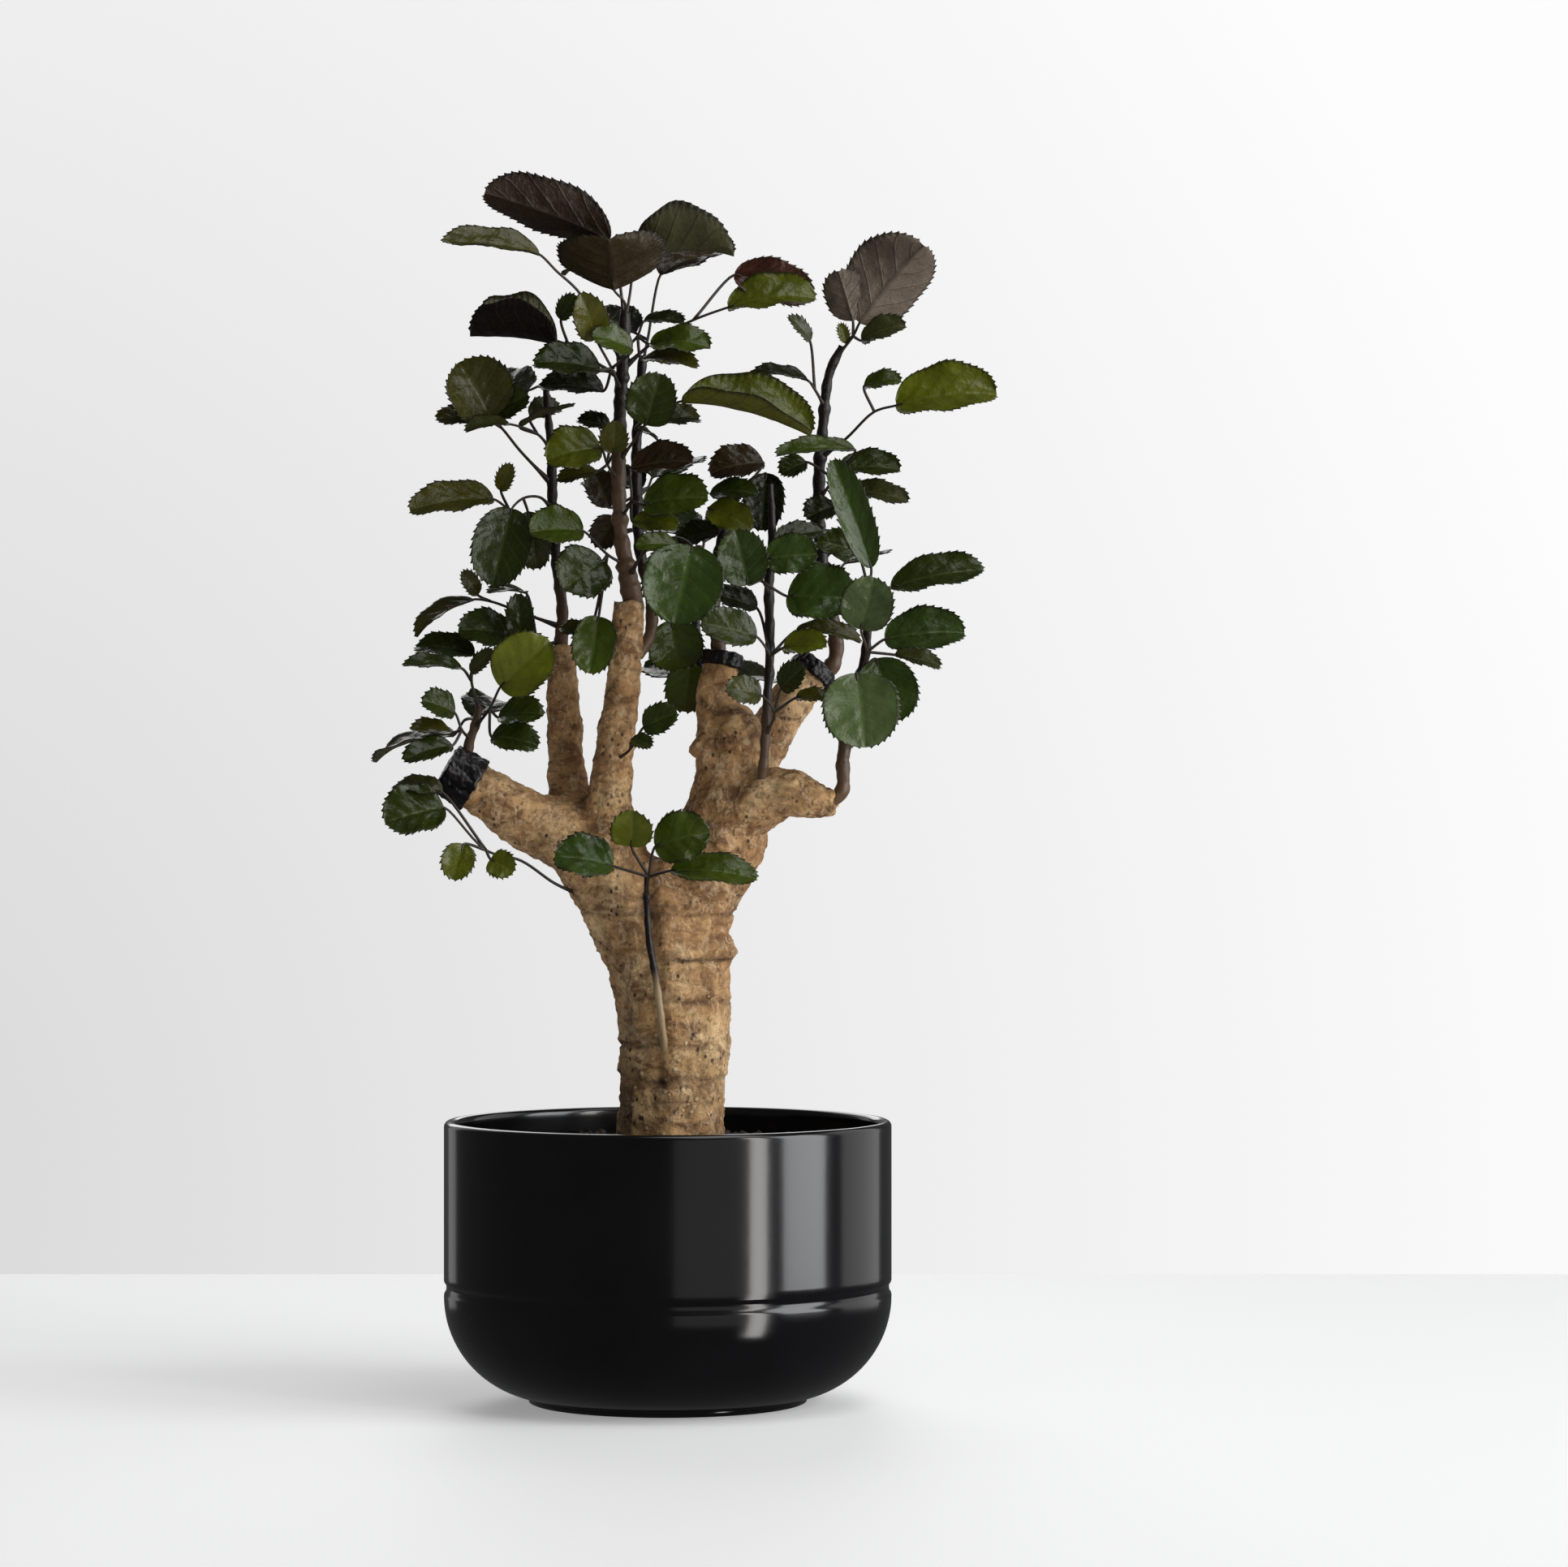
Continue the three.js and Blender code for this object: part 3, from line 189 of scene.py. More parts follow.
def bark_material():
    """Tan bark with worn patches, scurf, dark specks, and pale warts near the soil, with painted shade
    darkening its knots, ring cuts and crease.
    """
    s = Shader("bark", Roughness=0.72)
    broad = s.noise(34, 5, 0.6)
    wrap = s.noise(120, 6, 0.65, stretch=(0.6, 0.6, 1.2), distortion=0.8)
    fine = s.noise(520, 7, 0.7)
    flake = s.noise(210, 5, 0.7, stretch=(1, 1, 0.6), distortion=1.2)
    low, middle, high = (0.26, 0.120, 0.040, 1), (0.56, 0.32, 0.130, 1), (0.82, 0.56, 0.28, 1)
    tan = s.ramp(broad, (0.3, low), (0.48, middle), (0.68, high))
    worn = s.mix(s.ramp(wrap, (0.44, grey(0)), (0.62, grey(0.85))), tan, (0.15, 0.066, 0.022, 1))
    scurf = s.mix(s.ramp(flake, (0.5, grey(0)), (0.64, grey(0.6))), worn, (0.80, 0.60, 0.36, 1))
    gritty = s.mix(s.ramp(fine, (0.50, grey(0)), (0.66, grey(0.6))), scurf, (0.20, 0.095, 0.038, 1))
    specks = s.ramp(s.cells(330, stretch=(1.0, 1.0, 0.7)), (0.0, grey(1)), (0.18, grey(0.9)), (0.34, grey(0)))
    few = s.math("MULTIPLY", specks, s.ramp(s.noise(70, 5), (0.50, grey(0)), (0.60, grey(1))))
    spotted = s.mix(few, gritty, (0.035, 0.016, 0.008, 1))
    warts = s.ramp(s.cells(200), (0.0, grey(1)), (0.15, grey(0.8)), (0.26, grey(0)))
    height = s.node("SeparateXYZ", {0: s.node("TexCoord").outputs["Object"]}).outputs["Z"]
    near_soil = s.math("LESS_THAN", height, WARTS_BELOW)
    pale = s.math("MULTIPLY", s.math("MULTIPLY", warts, near_soil), 0.75)
    # painted shade: the per-point attribute from bark_relief darkens the bark towards near black in knots,
    # ring cuts and the crease, where shade falls
    shade = s.node("Attribute", attribute_name="hollow_shade").outputs["Fac"]
    coloured = s.mix(pale, spotted, (0.85, 0.66, 0.40, 1))
    s.set("Base Color", s.mix(shade, coloured, (0.05, 0.022, 0.009, 1)))
    s.bump(wrap, 0.8, 0.0020)
    s.bump(flake, 0.6, 0.0014)
    s.bump(fine, 0.6, 0.0008)
    s.bump(warts, 0.8, 0.0009)
    s.bump(specks, -0.5, 0.0006)
    return s.material


def wax_material():
    s = Shader("sealing_wax", Roughness=0.3, Specular_IOR_Level=0.5)
    black, dusty = (0.002, 0.0015, 0.002, 1), (0.014, 0.010, 0.011, 1)
    s.set("Base Color", s.ramp(s.noise(160, 5), (0.4, black), (0.75, dusty)))
    s.bump(s.noise(240, 5, 0.6), 0.7, 0.0014)
    s.bump(s.noise(900, 3), 0.3, 0.0004)
    return s.material


def stem_material():
    s = Shader("young_bark", Roughness=0.4)
    tone = s.node("Attribute", attribute_name="tone").outputs["Color"]
    streak = s.noise(420, 5, 0.6, stretch=(1, 1, 0.22))
    streaked = s.mix(s.math("MULTIPLY", streak, 0.65), tone, s.mix(0.65, tone, grey(0.0)))
    dots = s.ramp(s.cells(700), (0.0, grey(0.8)), (0.14, grey(0.5)), (0.22, grey(0)))
    s.set("Base Color", s.mix(s.math("MULTIPLY", dots, 0.5), streaked, (0.20, 0.15, 0.11, 1)))
    s.bump(streak, 0.5, 0.0006)
    s.bump(dots, 0.4, 0.0004)
    return s.material


LATERAL_VEINS = 5
VEIN_SLANT = 0.34  # how far up the blade a lateral vein climbs on its way to the edge


def leaf_material(name, under):
    """Leaf skin. The blade's UV runs across in U, with the midrib at 0.5, and from base to tip in V."""
    s = Shader(name, Roughness=0.42 if under else 0.27, Specular_IOR_Level=0.3 if under else 0.42)
    tone = s.node("Attribute", attribute_name="tone").outputs["Color"]
    uv = s.node("SeparateXYZ", {0: s.node("UVMap").outputs["UV"]})
    across = s.math("ABSOLUTE", s.math("MULTIPLY_ADD", uv.outputs["X"], 2.0, -1.0))
    wobble = s.math("MULTIPLY", s.math("SUBTRACT", s.noise(90, 3), 0.5), 0.05)
    climb = s.math("SUBTRACT", s.math("ADD", uv.outputs["Y"], wobble), s.math("MULTIPLY", across, VEIN_SLANT))
    ribs = s.math("FRACT", s.math("MULTIPLY_ADD", climb, LATERAL_VEINS, 10.0))
    from_rib = s.math("ABSOLUTE", s.math("SUBTRACT", ribs, 0.5))
    lateral = s.ramp(from_rib, (0.40, grey(0)), (0.5, grey(0.8)))
    midrib = s.ramp(s.math("ADD", across, wobble), (0.0, grey(1)), (0.045, grey(0.8)), (0.1, grey(0)))
    net = s.ramp(s.cells(330, "DISTANCE_TO_EDGE"), (0.0, grey(0.6)), (0.07, grey(0)))
    veins = s.math("MAXIMUM", s.math("MAXIMUM", midrib, lateral), s.math("MULTIPLY", net, 0.55))
    blotch = s.noise(75, 5, 0.6)
    browned = s.mix(0.5, tone, (0.012, 0.008, 0.004, 1))
    mottled = s.mix(s.ramp(blotch, (0.35, grey(0)), (0.7, grey(0.7))), tone, browned)
    if under:
        dark_vein = s.mix(0.55, tone, (0.02, 0.012, 0.012, 1))
        colour = s.mix(s.math("MULTIPLY", veins, 0.7), mottled, dark_vein)
    else:
        vein_colour = s.mix(0.22, tone, (0.16, 0.22, 0.06, 1))
        colour = s.mix(s.math("MULTIPLY", veins, 0.6), mottled, vein_colour)
    edge = s.ramp(across, (0.9, grey(0)), (1.0, grey(0.85)))
    s.set("Base Color", s.mix(edge, colour, (0.012, 0.008, 0.006, 1)))
    s.bump(veins, 0.45 if under else -0.55, 0.0010)
    s.bump(s.cells(150), 0.3, 0.0020)
    s.bump(s.noise(260, 4), 0.45, 0.0012)
    return s.material


GLAZE = glaze_material()
SOIL = soil_material()
BARK = bark_material()
WAX = wax_material()
STEM = stem_material()
LEAF_TOP = leaf_material("leaf_upper", False)
LEAF_UNDER = leaf_material("leaf_under", True)
CRUMB = chip_material("soil_crumb", (0.05, 0.03, 0.018, 1), (0.01, 0.006, 0.004, 1), 0.9)
CHIP = chip_material("pale_chip", (0.34, 0.25, 0.16, 1), (0.16, 0.10, 0.06, 1), 0.85)


# ---------------- mesh tools


def mesh_object(name, points_mm, faces, materials, face_materials=None):
    """A new object from points in millimetres."""
    mesh = bpy.data.meshes.new(name)
    mesh.from_pydata([tuple(p) for p in np.asarray(points_mm) * MM], [], faces)
    for material in materials:
        mesh.materials.append(material)
    if face_materials is not None:
        mesh.polygons.foreach_set("material_index", np.asarray(face_materials, dtype=np.int32))
    mesh.polygons.foreach_set("use_smooth", np.full(len(mesh.polygons), True))
    mesh.update()
    made = bpy.data.objects.new(name, mesh)
    bpy.context.scene.collection.objects.link(made)
    return made


def colour_points(target, colours):
    layer = target.data.color_attributes.new("tone", "FLOAT_COLOR", "POINT")
    data = np.ones((len(colours), 4), dtype=np.float32)
    data[:, :3] = colours
    layer.data.foreach_set("color", data.ravel())


def turned(name, profile, sides, material):
    """A body of revolution from [radius, height] points that start and end on the axis."""
    ring = [(math.cos(2 * math.pi * k / sides), math.sin(2 * math.pi * k / sides)) for k in range(sides)]
    points = [(r * c, r * s, z) for r, z in profile[1:-1] for c, s in ring]
    rows = len(profile) - 2
    faces = []
    for i in range(rows - 1):
        for k in range(sides):
            n = (k + 1) % sides
            faces.append((i * sides + k, i * sides + n, (i + 1) * sides + n, (i + 1) * sides + k))
    first, last = len(points), len(points) + 1
    points += [(0, 0, profile[0][1]), (0, 0, profile[-1][1])]
    for k in range(sides):
        n = (k + 1) % sides
        faces.append((first, n, k))
        faces.append((last, (rows - 1) * sides + k, (rows - 1) * sides + n))
    return mesh_object(name, points, faces, [material])


def arc(centre, radius, start, end, steps):
    angles = [math.radians(start + (end - start) * i / steps) for i in range(steps + 1)]
    return [(centre[0] + radius * math.cos(a), centre[1] + radius * math.sin(a)) for a in angles]


def remeshed(node, name, voxel_mm, smoothing):
    """A fine, softened copy of a CAD node's mesh."""
    copy = bpy.data.objects.new(name, NODES[node].data.copy())
    bpy.context.scene.collection.objects.link(copy)
    copy.data.materials.clear()
    remesh = copy.modifiers.new("remesh", "REMESH")
    remesh.mode = "VOXEL"
    remesh.voxel_size = voxel_mm * MM
    smooth = copy.modifiers.new("smooth", "SMOOTH")
    smooth.factor = 0.5
    smooth.iterations = smoothing
    depsgraph = bpy.context.evaluated_depsgraph_get()
    mesh = bpy.data.meshes.new_from_object(copy.evaluated_get(depsgraph))
    copy.modifiers.clear()
    copy.data = mesh
    mesh.polygons.foreach_set("use_smooth", np.full(len(mesh.polygons), True))
    return copy


def points_and_normals(target):
    mesh = target.data
    count = len(mesh.vertices)
    points = np.empty(count * 3, dtype=np.float32)
    normals = np.empty(count * 3, dtype=np.float32)
    mesh.vertices.foreach_get("co", points)
    mesh.vertex_normals.foreach_get("vector", normals)
    return points.reshape(-1, 3) / MM, normals.reshape(-1, 3)


def move_points(target, points_mm):
    target.data.vertices.foreach_set("co", (points_mm * MM).astype(np.float32).ravel())
    target.data.update()


def finish_piece(piece, slot, *nodes):
    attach(piece, "root")
    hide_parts(*nodes)


# ---------------- planter

POT_LOW, POT_HIGH = box_mm("planter_pot")
POT_RADIUS = (POT_HIGH[0] - POT_LOW[0]) / 2
POT_HEIGHT = POT_HIGH[2]
POT_WALL = 5.5
LIP_ROUND = 2.75
BOWL_ROUND = 48
FOOT_RADIUS = 65.5
FOOT_HEIGHT = 2.8
GROOVE_Z = 55
POT_SIDES = 192

foot_angle = math.degrees(math.acos((FOOT_RADIUS - POT_RADIUS + BOWL_ROUND) / BOWL_ROUND))
bowl_centre = (POT_RADIUS - BOWL_ROUND, FOOT_HEIGHT + BOWL_ROUND * math.sin(math.radians(foot_angle)))


def planter():
    """Glazed wall over a round bowl, with a soft shoulder and a shallow groove where they meet."""
    lip = POT_HEIGHT - LIP_ROUND
    inner = POT_RADIUS - POT_WALL
    groove = [(-4.6, 0.0), (-3.6, -0.25), (-2.8, -0.9), (-1.6, -1.15), (0, -1.15)]
    groove += [(1.0, -0.8), (1.6, -0.25), (2.4, 0.0)]
    profile = [
        (0, 0.6),
        (FOOT_RADIUS - 7, 0.6),
        (FOOT_RADIUS - 6, 0.1),
        (FOOT_RADIUS - 5.2, 0),
        (FOOT_RADIUS - 1.2, 0),
        (FOOT_RADIUS - 0.3, 0.4),
        (FOOT_RADIUS, FOOT_HEIGHT - 0.6),
        *arc(bowl_centre, BOWL_ROUND, -foot_angle, 0, 22),
        *[(POT_RADIUS + r, GROOVE_Z + z) for z, r in groove],
        (POT_RADIUS, GROOVE_Z + 6),
        (POT_RADIUS, 90),
        (POT_RADIUS, lip - 1.5),
        *arc((POT_RADIUS - LIP_ROUND, lip), LIP_ROUND, 0, 180, 14),
        (inner, lip - 2),
        (inner, 100),
        *arc(bowl_centre, BOWL_ROUND - POT_WALL, 0, -88, 10),
        (0, bowl_centre[1] - BOWL_ROUND + POT_WALL),
    ]
    pot = turned("planter", profile, POT_SIDES, GLAZE)
    finish_piece(pot, "glaze", "planter_pot")


# ---------------- soil

SOIL_HIGH = box_mm("potting_soil")[1]
SOIL_RADIUS = SOIL_HIGH[0] - 0.1
SOIL_LEVEL = SOIL_HIGH[2]


def soil_height(x, y):
    from_axis = math.hypot(x, y) / SOIL_RADIUS
    lumps = 1.5 * noise.fractal(Vector((x * 0.045, y * 0.045, 3.1)), 1.0, 2.0, 4)
    crumbs = 0.7 * noise.noise(Vector((x * 0.35, y * 0.35, 8.2)))
    return SOIL_LEVEL - 0.8 - 1.6 * from_axis + (lumps + crumbs) * (1 - 0.5 * from_axis**4)


def soil():
    rings = 56
    sides = 160
    points = []
    for i in range(1, rings + 1):
        r = SOIL_RADIUS * i / rings
        for k in range(sides):
            a = 2 * math.pi * k / sides
            x, y = r * math.cos(a), r * math.sin(a)
            points.append((x, y, soil_height(x, y)))
    for k in range(sides):
        a = 2 * math.pi * k / sides
        points.append((SOIL_RADIUS * math.cos(a), SOIL_RADIUS * math.sin(a), SOIL_LEVEL - 14))
    faces = []
    for i in range(rings):
        for k in range(sides):
            n = (k + 1) % sides
            faces.append((i * sides + k, (i + 1) * sides + k, (i + 1) * sides + n, i * sides + n))
    points.append((0, 0, soil_height(0, 0)))
    faces += [(len(points) - 1, k, (k + 1) % sides) for k in range(sides)]
    bed = mesh_object("soil_bed", points, faces, [SOIL])
    finish_piece(bed, "soil", "potting_soil")
    return bed


def lump(rng, centre, size, flat):
    """One rough crumb: a jittered ball."""
    ball = bmesh.new()
    bmesh.ops.create_icosphere(ball, subdivisions=1, radius=1)
    turn = Vector((rng.uniform(-1, 1), rng.uniform(-1, 1), rng.uniform(-1, 1))).normalized()
    squeeze = (rng.uniform(0.6, 1.3), rng.uniform(0.6, 1.2), rng.uniform(0.5, 0.9) * flat)
    points = []
    for vertex in ball.verts:
        p = vertex.co * (1 + 0.35 * noise.noise(vertex.co * 1.7 + turn * 9))
        p = Vector((p.x * squeeze[0], p.y * squeeze[1], p.z * squeeze[2]))
        p.rotate(turn.to_track_quat("X", "Z"))
        points.append(tuple(Vector(centre) + p * size))
    faces = [tuple(v.index for v in face.verts) for face in ball.faces]
    ball.free()
    return points, faces


def scattered(name, count, sizes, material, seed, near_edge=False, flat=1.0):
    """Loose crumbs or chips over the soil, all one mesh."""
    rng = random.Random(seed)
    points, faces = [], []
    while count:
        a = rng.uniform(0, 2 * math.pi)
        r = SOIL_RADIUS * math.sqrt(rng.uniform(0.09, 0.97))
        if near_edge and r < SOIL_RADIUS * 0.6:
            continue
        size = rng.uniform(*sizes)
        r = min(r, SOIL_RADIUS - size * 1.5)
        x, y = r * math.cos(a), r * math.sin(a)
        new_points, new_faces = lump(rng, (x, y, soil_height(x, y) + size * 0.35), size, flat)
        faces += [tuple(i + len(points) for i in face) for face in new_faces]
        points += new_points
        count -= 1
    piece = mesh_object(name, points, faces, [material])
    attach(piece, "root")


# ---------------- trunk

TORN_END_X = 73  # the ragged end of the right stub lies beyond this, and above the next height
TORN_END_Z = 262
BARK_RINGS = ((168, -1, 0.9), (188, 1, 0.8), (208, 1, 1.1), (152, 0, 0.5), (229, 0, 0.6))


RINGS_BELOW = 235
RINGS_REACH = 40
FINE_RINGS = range(128, 360, 7)
CREASE_LOW = 196  # a shallow fold runs down the front of the trunk between these heights
CREASE_HIGH = 262
CREASE_HALF_WIDTH = 4.5
BARK_VOXEL = 1.5
BARK_SMOOTHING = 16
BARK_SWELL = 0.3  # makes up for what the smoothing takes off
BARK_DEEPEST = -3.5
BARK_PROUDEST = 1.7


def ridge(distance, width):
    """A smooth hump of height 1 across a line."""
    return math.exp(-((distance / width) ** 2))


def bark_relief(p):
    """How far the bark stands out at a point, and how much painted shade darkens it there: in deep knots,
    under the ring cuts and along the crease.
    """
    x, y, z = p
    lumps = 1.5 * noise.noise(Vector((x * 0.035, y * 0.035, z * 0.03)))
    knots = 1.35 * noise.fractal(Vector((x * 0.11, y * 0.11, z * 0.09 + 5)), 1.0, 2.1, 3)
    rough = 0.62 * noise.fractal(Vector((x * 0.42, y * 0.42, z * 0.5)), 0.9, 2.0, 3)
    if x > TORN_END_X and z > TORN_END_Z:
        rough += 2.6 * noise.noise(Vector((x * 0.3, y * 0.3, z * 0.3))) - 0.6
    height = lumps + knots + rough
    # painted shade: this value darkens the bark colour in deep knots, ring cuts and the crease, where shade
    # falls
    hollow_shade = max(0.0, -knots - 0.35) * 0.6
    for level, side, depth in BARK_RINGS:
        wander = 2.2 * noise.noise(Vector((x * 0.07, y * 0.07, level)))
        reach = 1.0 if side == 0 else max(0.0, min(1.0, 0.5 + side * x / 18))
        if z < RINGS_BELOW and abs(x) < RINGS_REACH:
            cut = ridge(z - level - wander, 0.9) * reach
            lip = ridge(z - level - wander - 2.4, 1.6) * reach
            height += depth * (0.9 * lip - 1.3 * cut)
            hollow_shade += 0.75 * cut * depth
    for level in FINE_RINGS:
        wander = 2.5 * noise.noise(Vector((x * 0.08, y * 0.08, level * 1.7)))
        height += 0.14 * ridge(z - level - wander, 1.0)
    if y < 0 and CREASE_LOW < z < CREASE_HIGH:
        share = (z - CREASE_LOW) / (CREASE_HIGH - CREASE_LOW)
        crease_x = -8 + 0.06 * (z - 225) + 2 * noise.noise(Vector((0, 0, z * 0.06)))
        crease = ridge(x - crease_x, CREASE_HALF_WIDTH) * math.sin(math.pi * share)
        height -= 3.2 * crease
        hollow_shade += 0.3 * crease
    return height, min(1.0, hollow_shade)


def trunk():
    piece = remeshed("trunk", "trunk_bark", BARK_VOXEL, BARK_SMOOTHING)
    points, normals = points_and_normals(piece)
    hollow_shade = np.zeros(len(points), dtype=np.float32)
    for i, (point, normal) in enumerate(zip(points, normals)):
        height, hollow_shade[i] = bark_relief([float(v) for v in point])
        points[i] = point + normal * max(BARK_DEEPEST, min(BARK_PROUDEST, height + BARK_SWELL))
    move_points(piece, points)
    # painted shade for the hollows, stored on each point for the bark material
    layer = piece.data.attributes.new("hollow_shade", "FLOAT", "POINT")
    layer.data.foreach_set("value", hollow_shade)
    piece.data.materials.append(BARK)
    finish_piece(piece, "bark", "trunk")


# ---------------- sealing wax

WAX_VOXEL = 0.45
WAX_SMOOTHING = 4


def wax_cap(node):
    """Wax brushed on thick and uneven."""
    piece = remeshed(node, node + "_wax", WAX_VOXEL, WAX_SMOOTHING)
    points, normals = points_and_normals(piece)
    for i, (point, normal) in enumerate(zip(points, normals)):
        p = Vector([float(v) for v in point])
        points[i] = point + normal * (0.35 + 0.9 * noise.noise(p * 0.22) + 0.4 * noise.noise(p * 0.6))
    move_points(piece, points)
    piece.data.materials.append(WAX)
    finish_piece(piece, "wax", node)


# ---------------- curves


def smooth_curve(points, steps):
    """Points on the centripetal Catmull-Rom curve through points, steps to each stretch."""
    points = [np.asarray(p, dtype=float) for p in points]
    padded = [2 * points[0] - points[1], *points, 2 * points[-1] - points[-2]]
    made = []
    for p0, p1, p2, p3 in zip(padded, padded[1:], padded[2:], padded[3:]):
        d0, d1, d2 = (max(np.linalg.norm(b - a) ** 0.5, 1e-3) for a, b in ((p0, p1), (p1, p2), (p2, p3)))
        m1 = ((p1 - p0) / d0 - (p2 - p0) / (d0 + d1) + (p2 - p1) / d1) * d1
        m2 = ((p2 - p1) / d1 - (p3 - p1) / (d1 + d2) + (p3 - p2) / d2) * d1
        for i in range(steps):
            t = i / steps
            a = -3 * p1 + 3 * p2 - 2 * m1 - m2
            b = 2 * p1 - 2 * p2 + m1 + m2
            made.append(p1 + m1 * t + a * t**2 + b * t**3)
    return np.array([*made, points[-1]])


def tube(path, radii, sides):
    """Rings of points round a path, and their faces, with closed ends."""
    path = np.asarray(path)
    tangents = np.gradient(path, axis=0)
    tangents /= np.linalg.norm(tangents, axis=1)[:, None]
    normal = np.array([0.0, 1.0, 0.0])
    angles = np.arange(sides) * 2 * math.pi / sides
    points = []
    for centre, tangent, radius in zip(path, tangents, radii):
        normal = normal - tangent * normal.dot(tangent)
        normal /= np.linalg.norm(normal)
        binormal = np.cross(tangent, normal)
        rim = np.cos(angles)[:, None] * normal + np.sin(angles)[:, None] * binormal
        points.append(centre + rim * radius)
    points = np.concatenate([*points, path[:1], path[-1:]])
    last = (len(path) - 1) * sides
    faces = []
    for k in range(sides):
        n = (k + 1) % sides
        for ring in range(0, last, sides):
            faces.append((ring + k, ring + n, ring + sides + n, ring + sides + k))
        faces.append((len(points) - 2, n, k))
        faces.append((len(points) - 1, last + k, last + n))
    return points, faces


# ---------------- shoots and leaves

# Each shoot is a row of (x, y, height, radius) from the bark to its tip.
SHOOTS = {
    "centre": [
        (-16, -7, 374, 5), (-19, -6, 390, 4), (-22, -5, 408, 3.3), (-23, -4, 432, 3.2),
        (-22.5, -3, 462, 3), (-21, -2, 490, 2.6), (-20, -2, 511, 2.2),
    ],
    "centre_back": [
        (-14, -4, 350, 2.8), (-8.5, 1, 360, 2.8), (-8, 5, 376, 2.6), (-13, 8, 398, 2.5),
        (-15, 9, 430, 2.4), (-14.5, 9, 462, 2.2), (-12, 8, 492, 1.8),
    ],
    "left": [
        (-51.5, 22, 353, 3), (-50.5, 22, 372, 2.6), (-53, 21, 392, 2.4), (-55, 20, 415, 2.3),
        (-55.5, 20, 440, 2.2), (-57, 20, 462, 1.7), (-58.5, 20, 480, 1.4),
    ],
    "right": [
        (73, 22, 340, 3.6), (79, 22, 350, 3.5), (77, 22, 370, 3.1), (72, 22, 400, 2.9),
        (71, 21, 432, 2.8), (73, 20, 460, 2.4), (76, 18, 484, 2.2), (82, 16, 497, 1.6),
    ],
    "front_right": [
        (44, -22, 290, 2.3), (45.5, -25, 305, 2.1), (46.5, -25, 325, 2), (48, -24, 352, 2.1),
        (47.5, -22, 382, 2.2), (49, -20, 408, 1.8), (48, -18, 430, 1.4),
    ],
    "far_left": [
        (-94, -6, 300, 2.4), (-93, -5, 309, 2.1), (-90, -4, 318, 1.8), (-88, -4, 327, 1.5),
    ],
    "far_right": [
        (76, -22, 281, 3.2), (81.5, -22, 287, 3.1), (82, -22, 302, 3), (86, -21, 320, 2.8),
        (90, -20, 338, 2.5), (93, -20, 355, 2.1), (93, -19, 376, 1.7),
    ],
    "middle": [
        (25, 6, 347, 3.4), (22, 8, 364, 2.9), (22, 10, 385, 2.6), (26, 11, 410, 2.3),
        (32, 10, 432, 1.8),
    ],
    "front_low": [
        (-1, -23, 165, 1.6), (-2, -29.5, 177, 1.6), (-5, -32, 200, 1.6), (-8, -33, 218, 1.5),
        (-9, -34, 234, 1.4), (-9, -36, 248, 1.2),
    ],
    "back": [
        (26, 12, 286, 3), (24, 22, 296, 2.8), (20, 34, 320, 2.5), (14, 40, 350, 2.2),
        (12, 42, 380, 1.8), (14, 42, 404, 1.5),
    ],
}

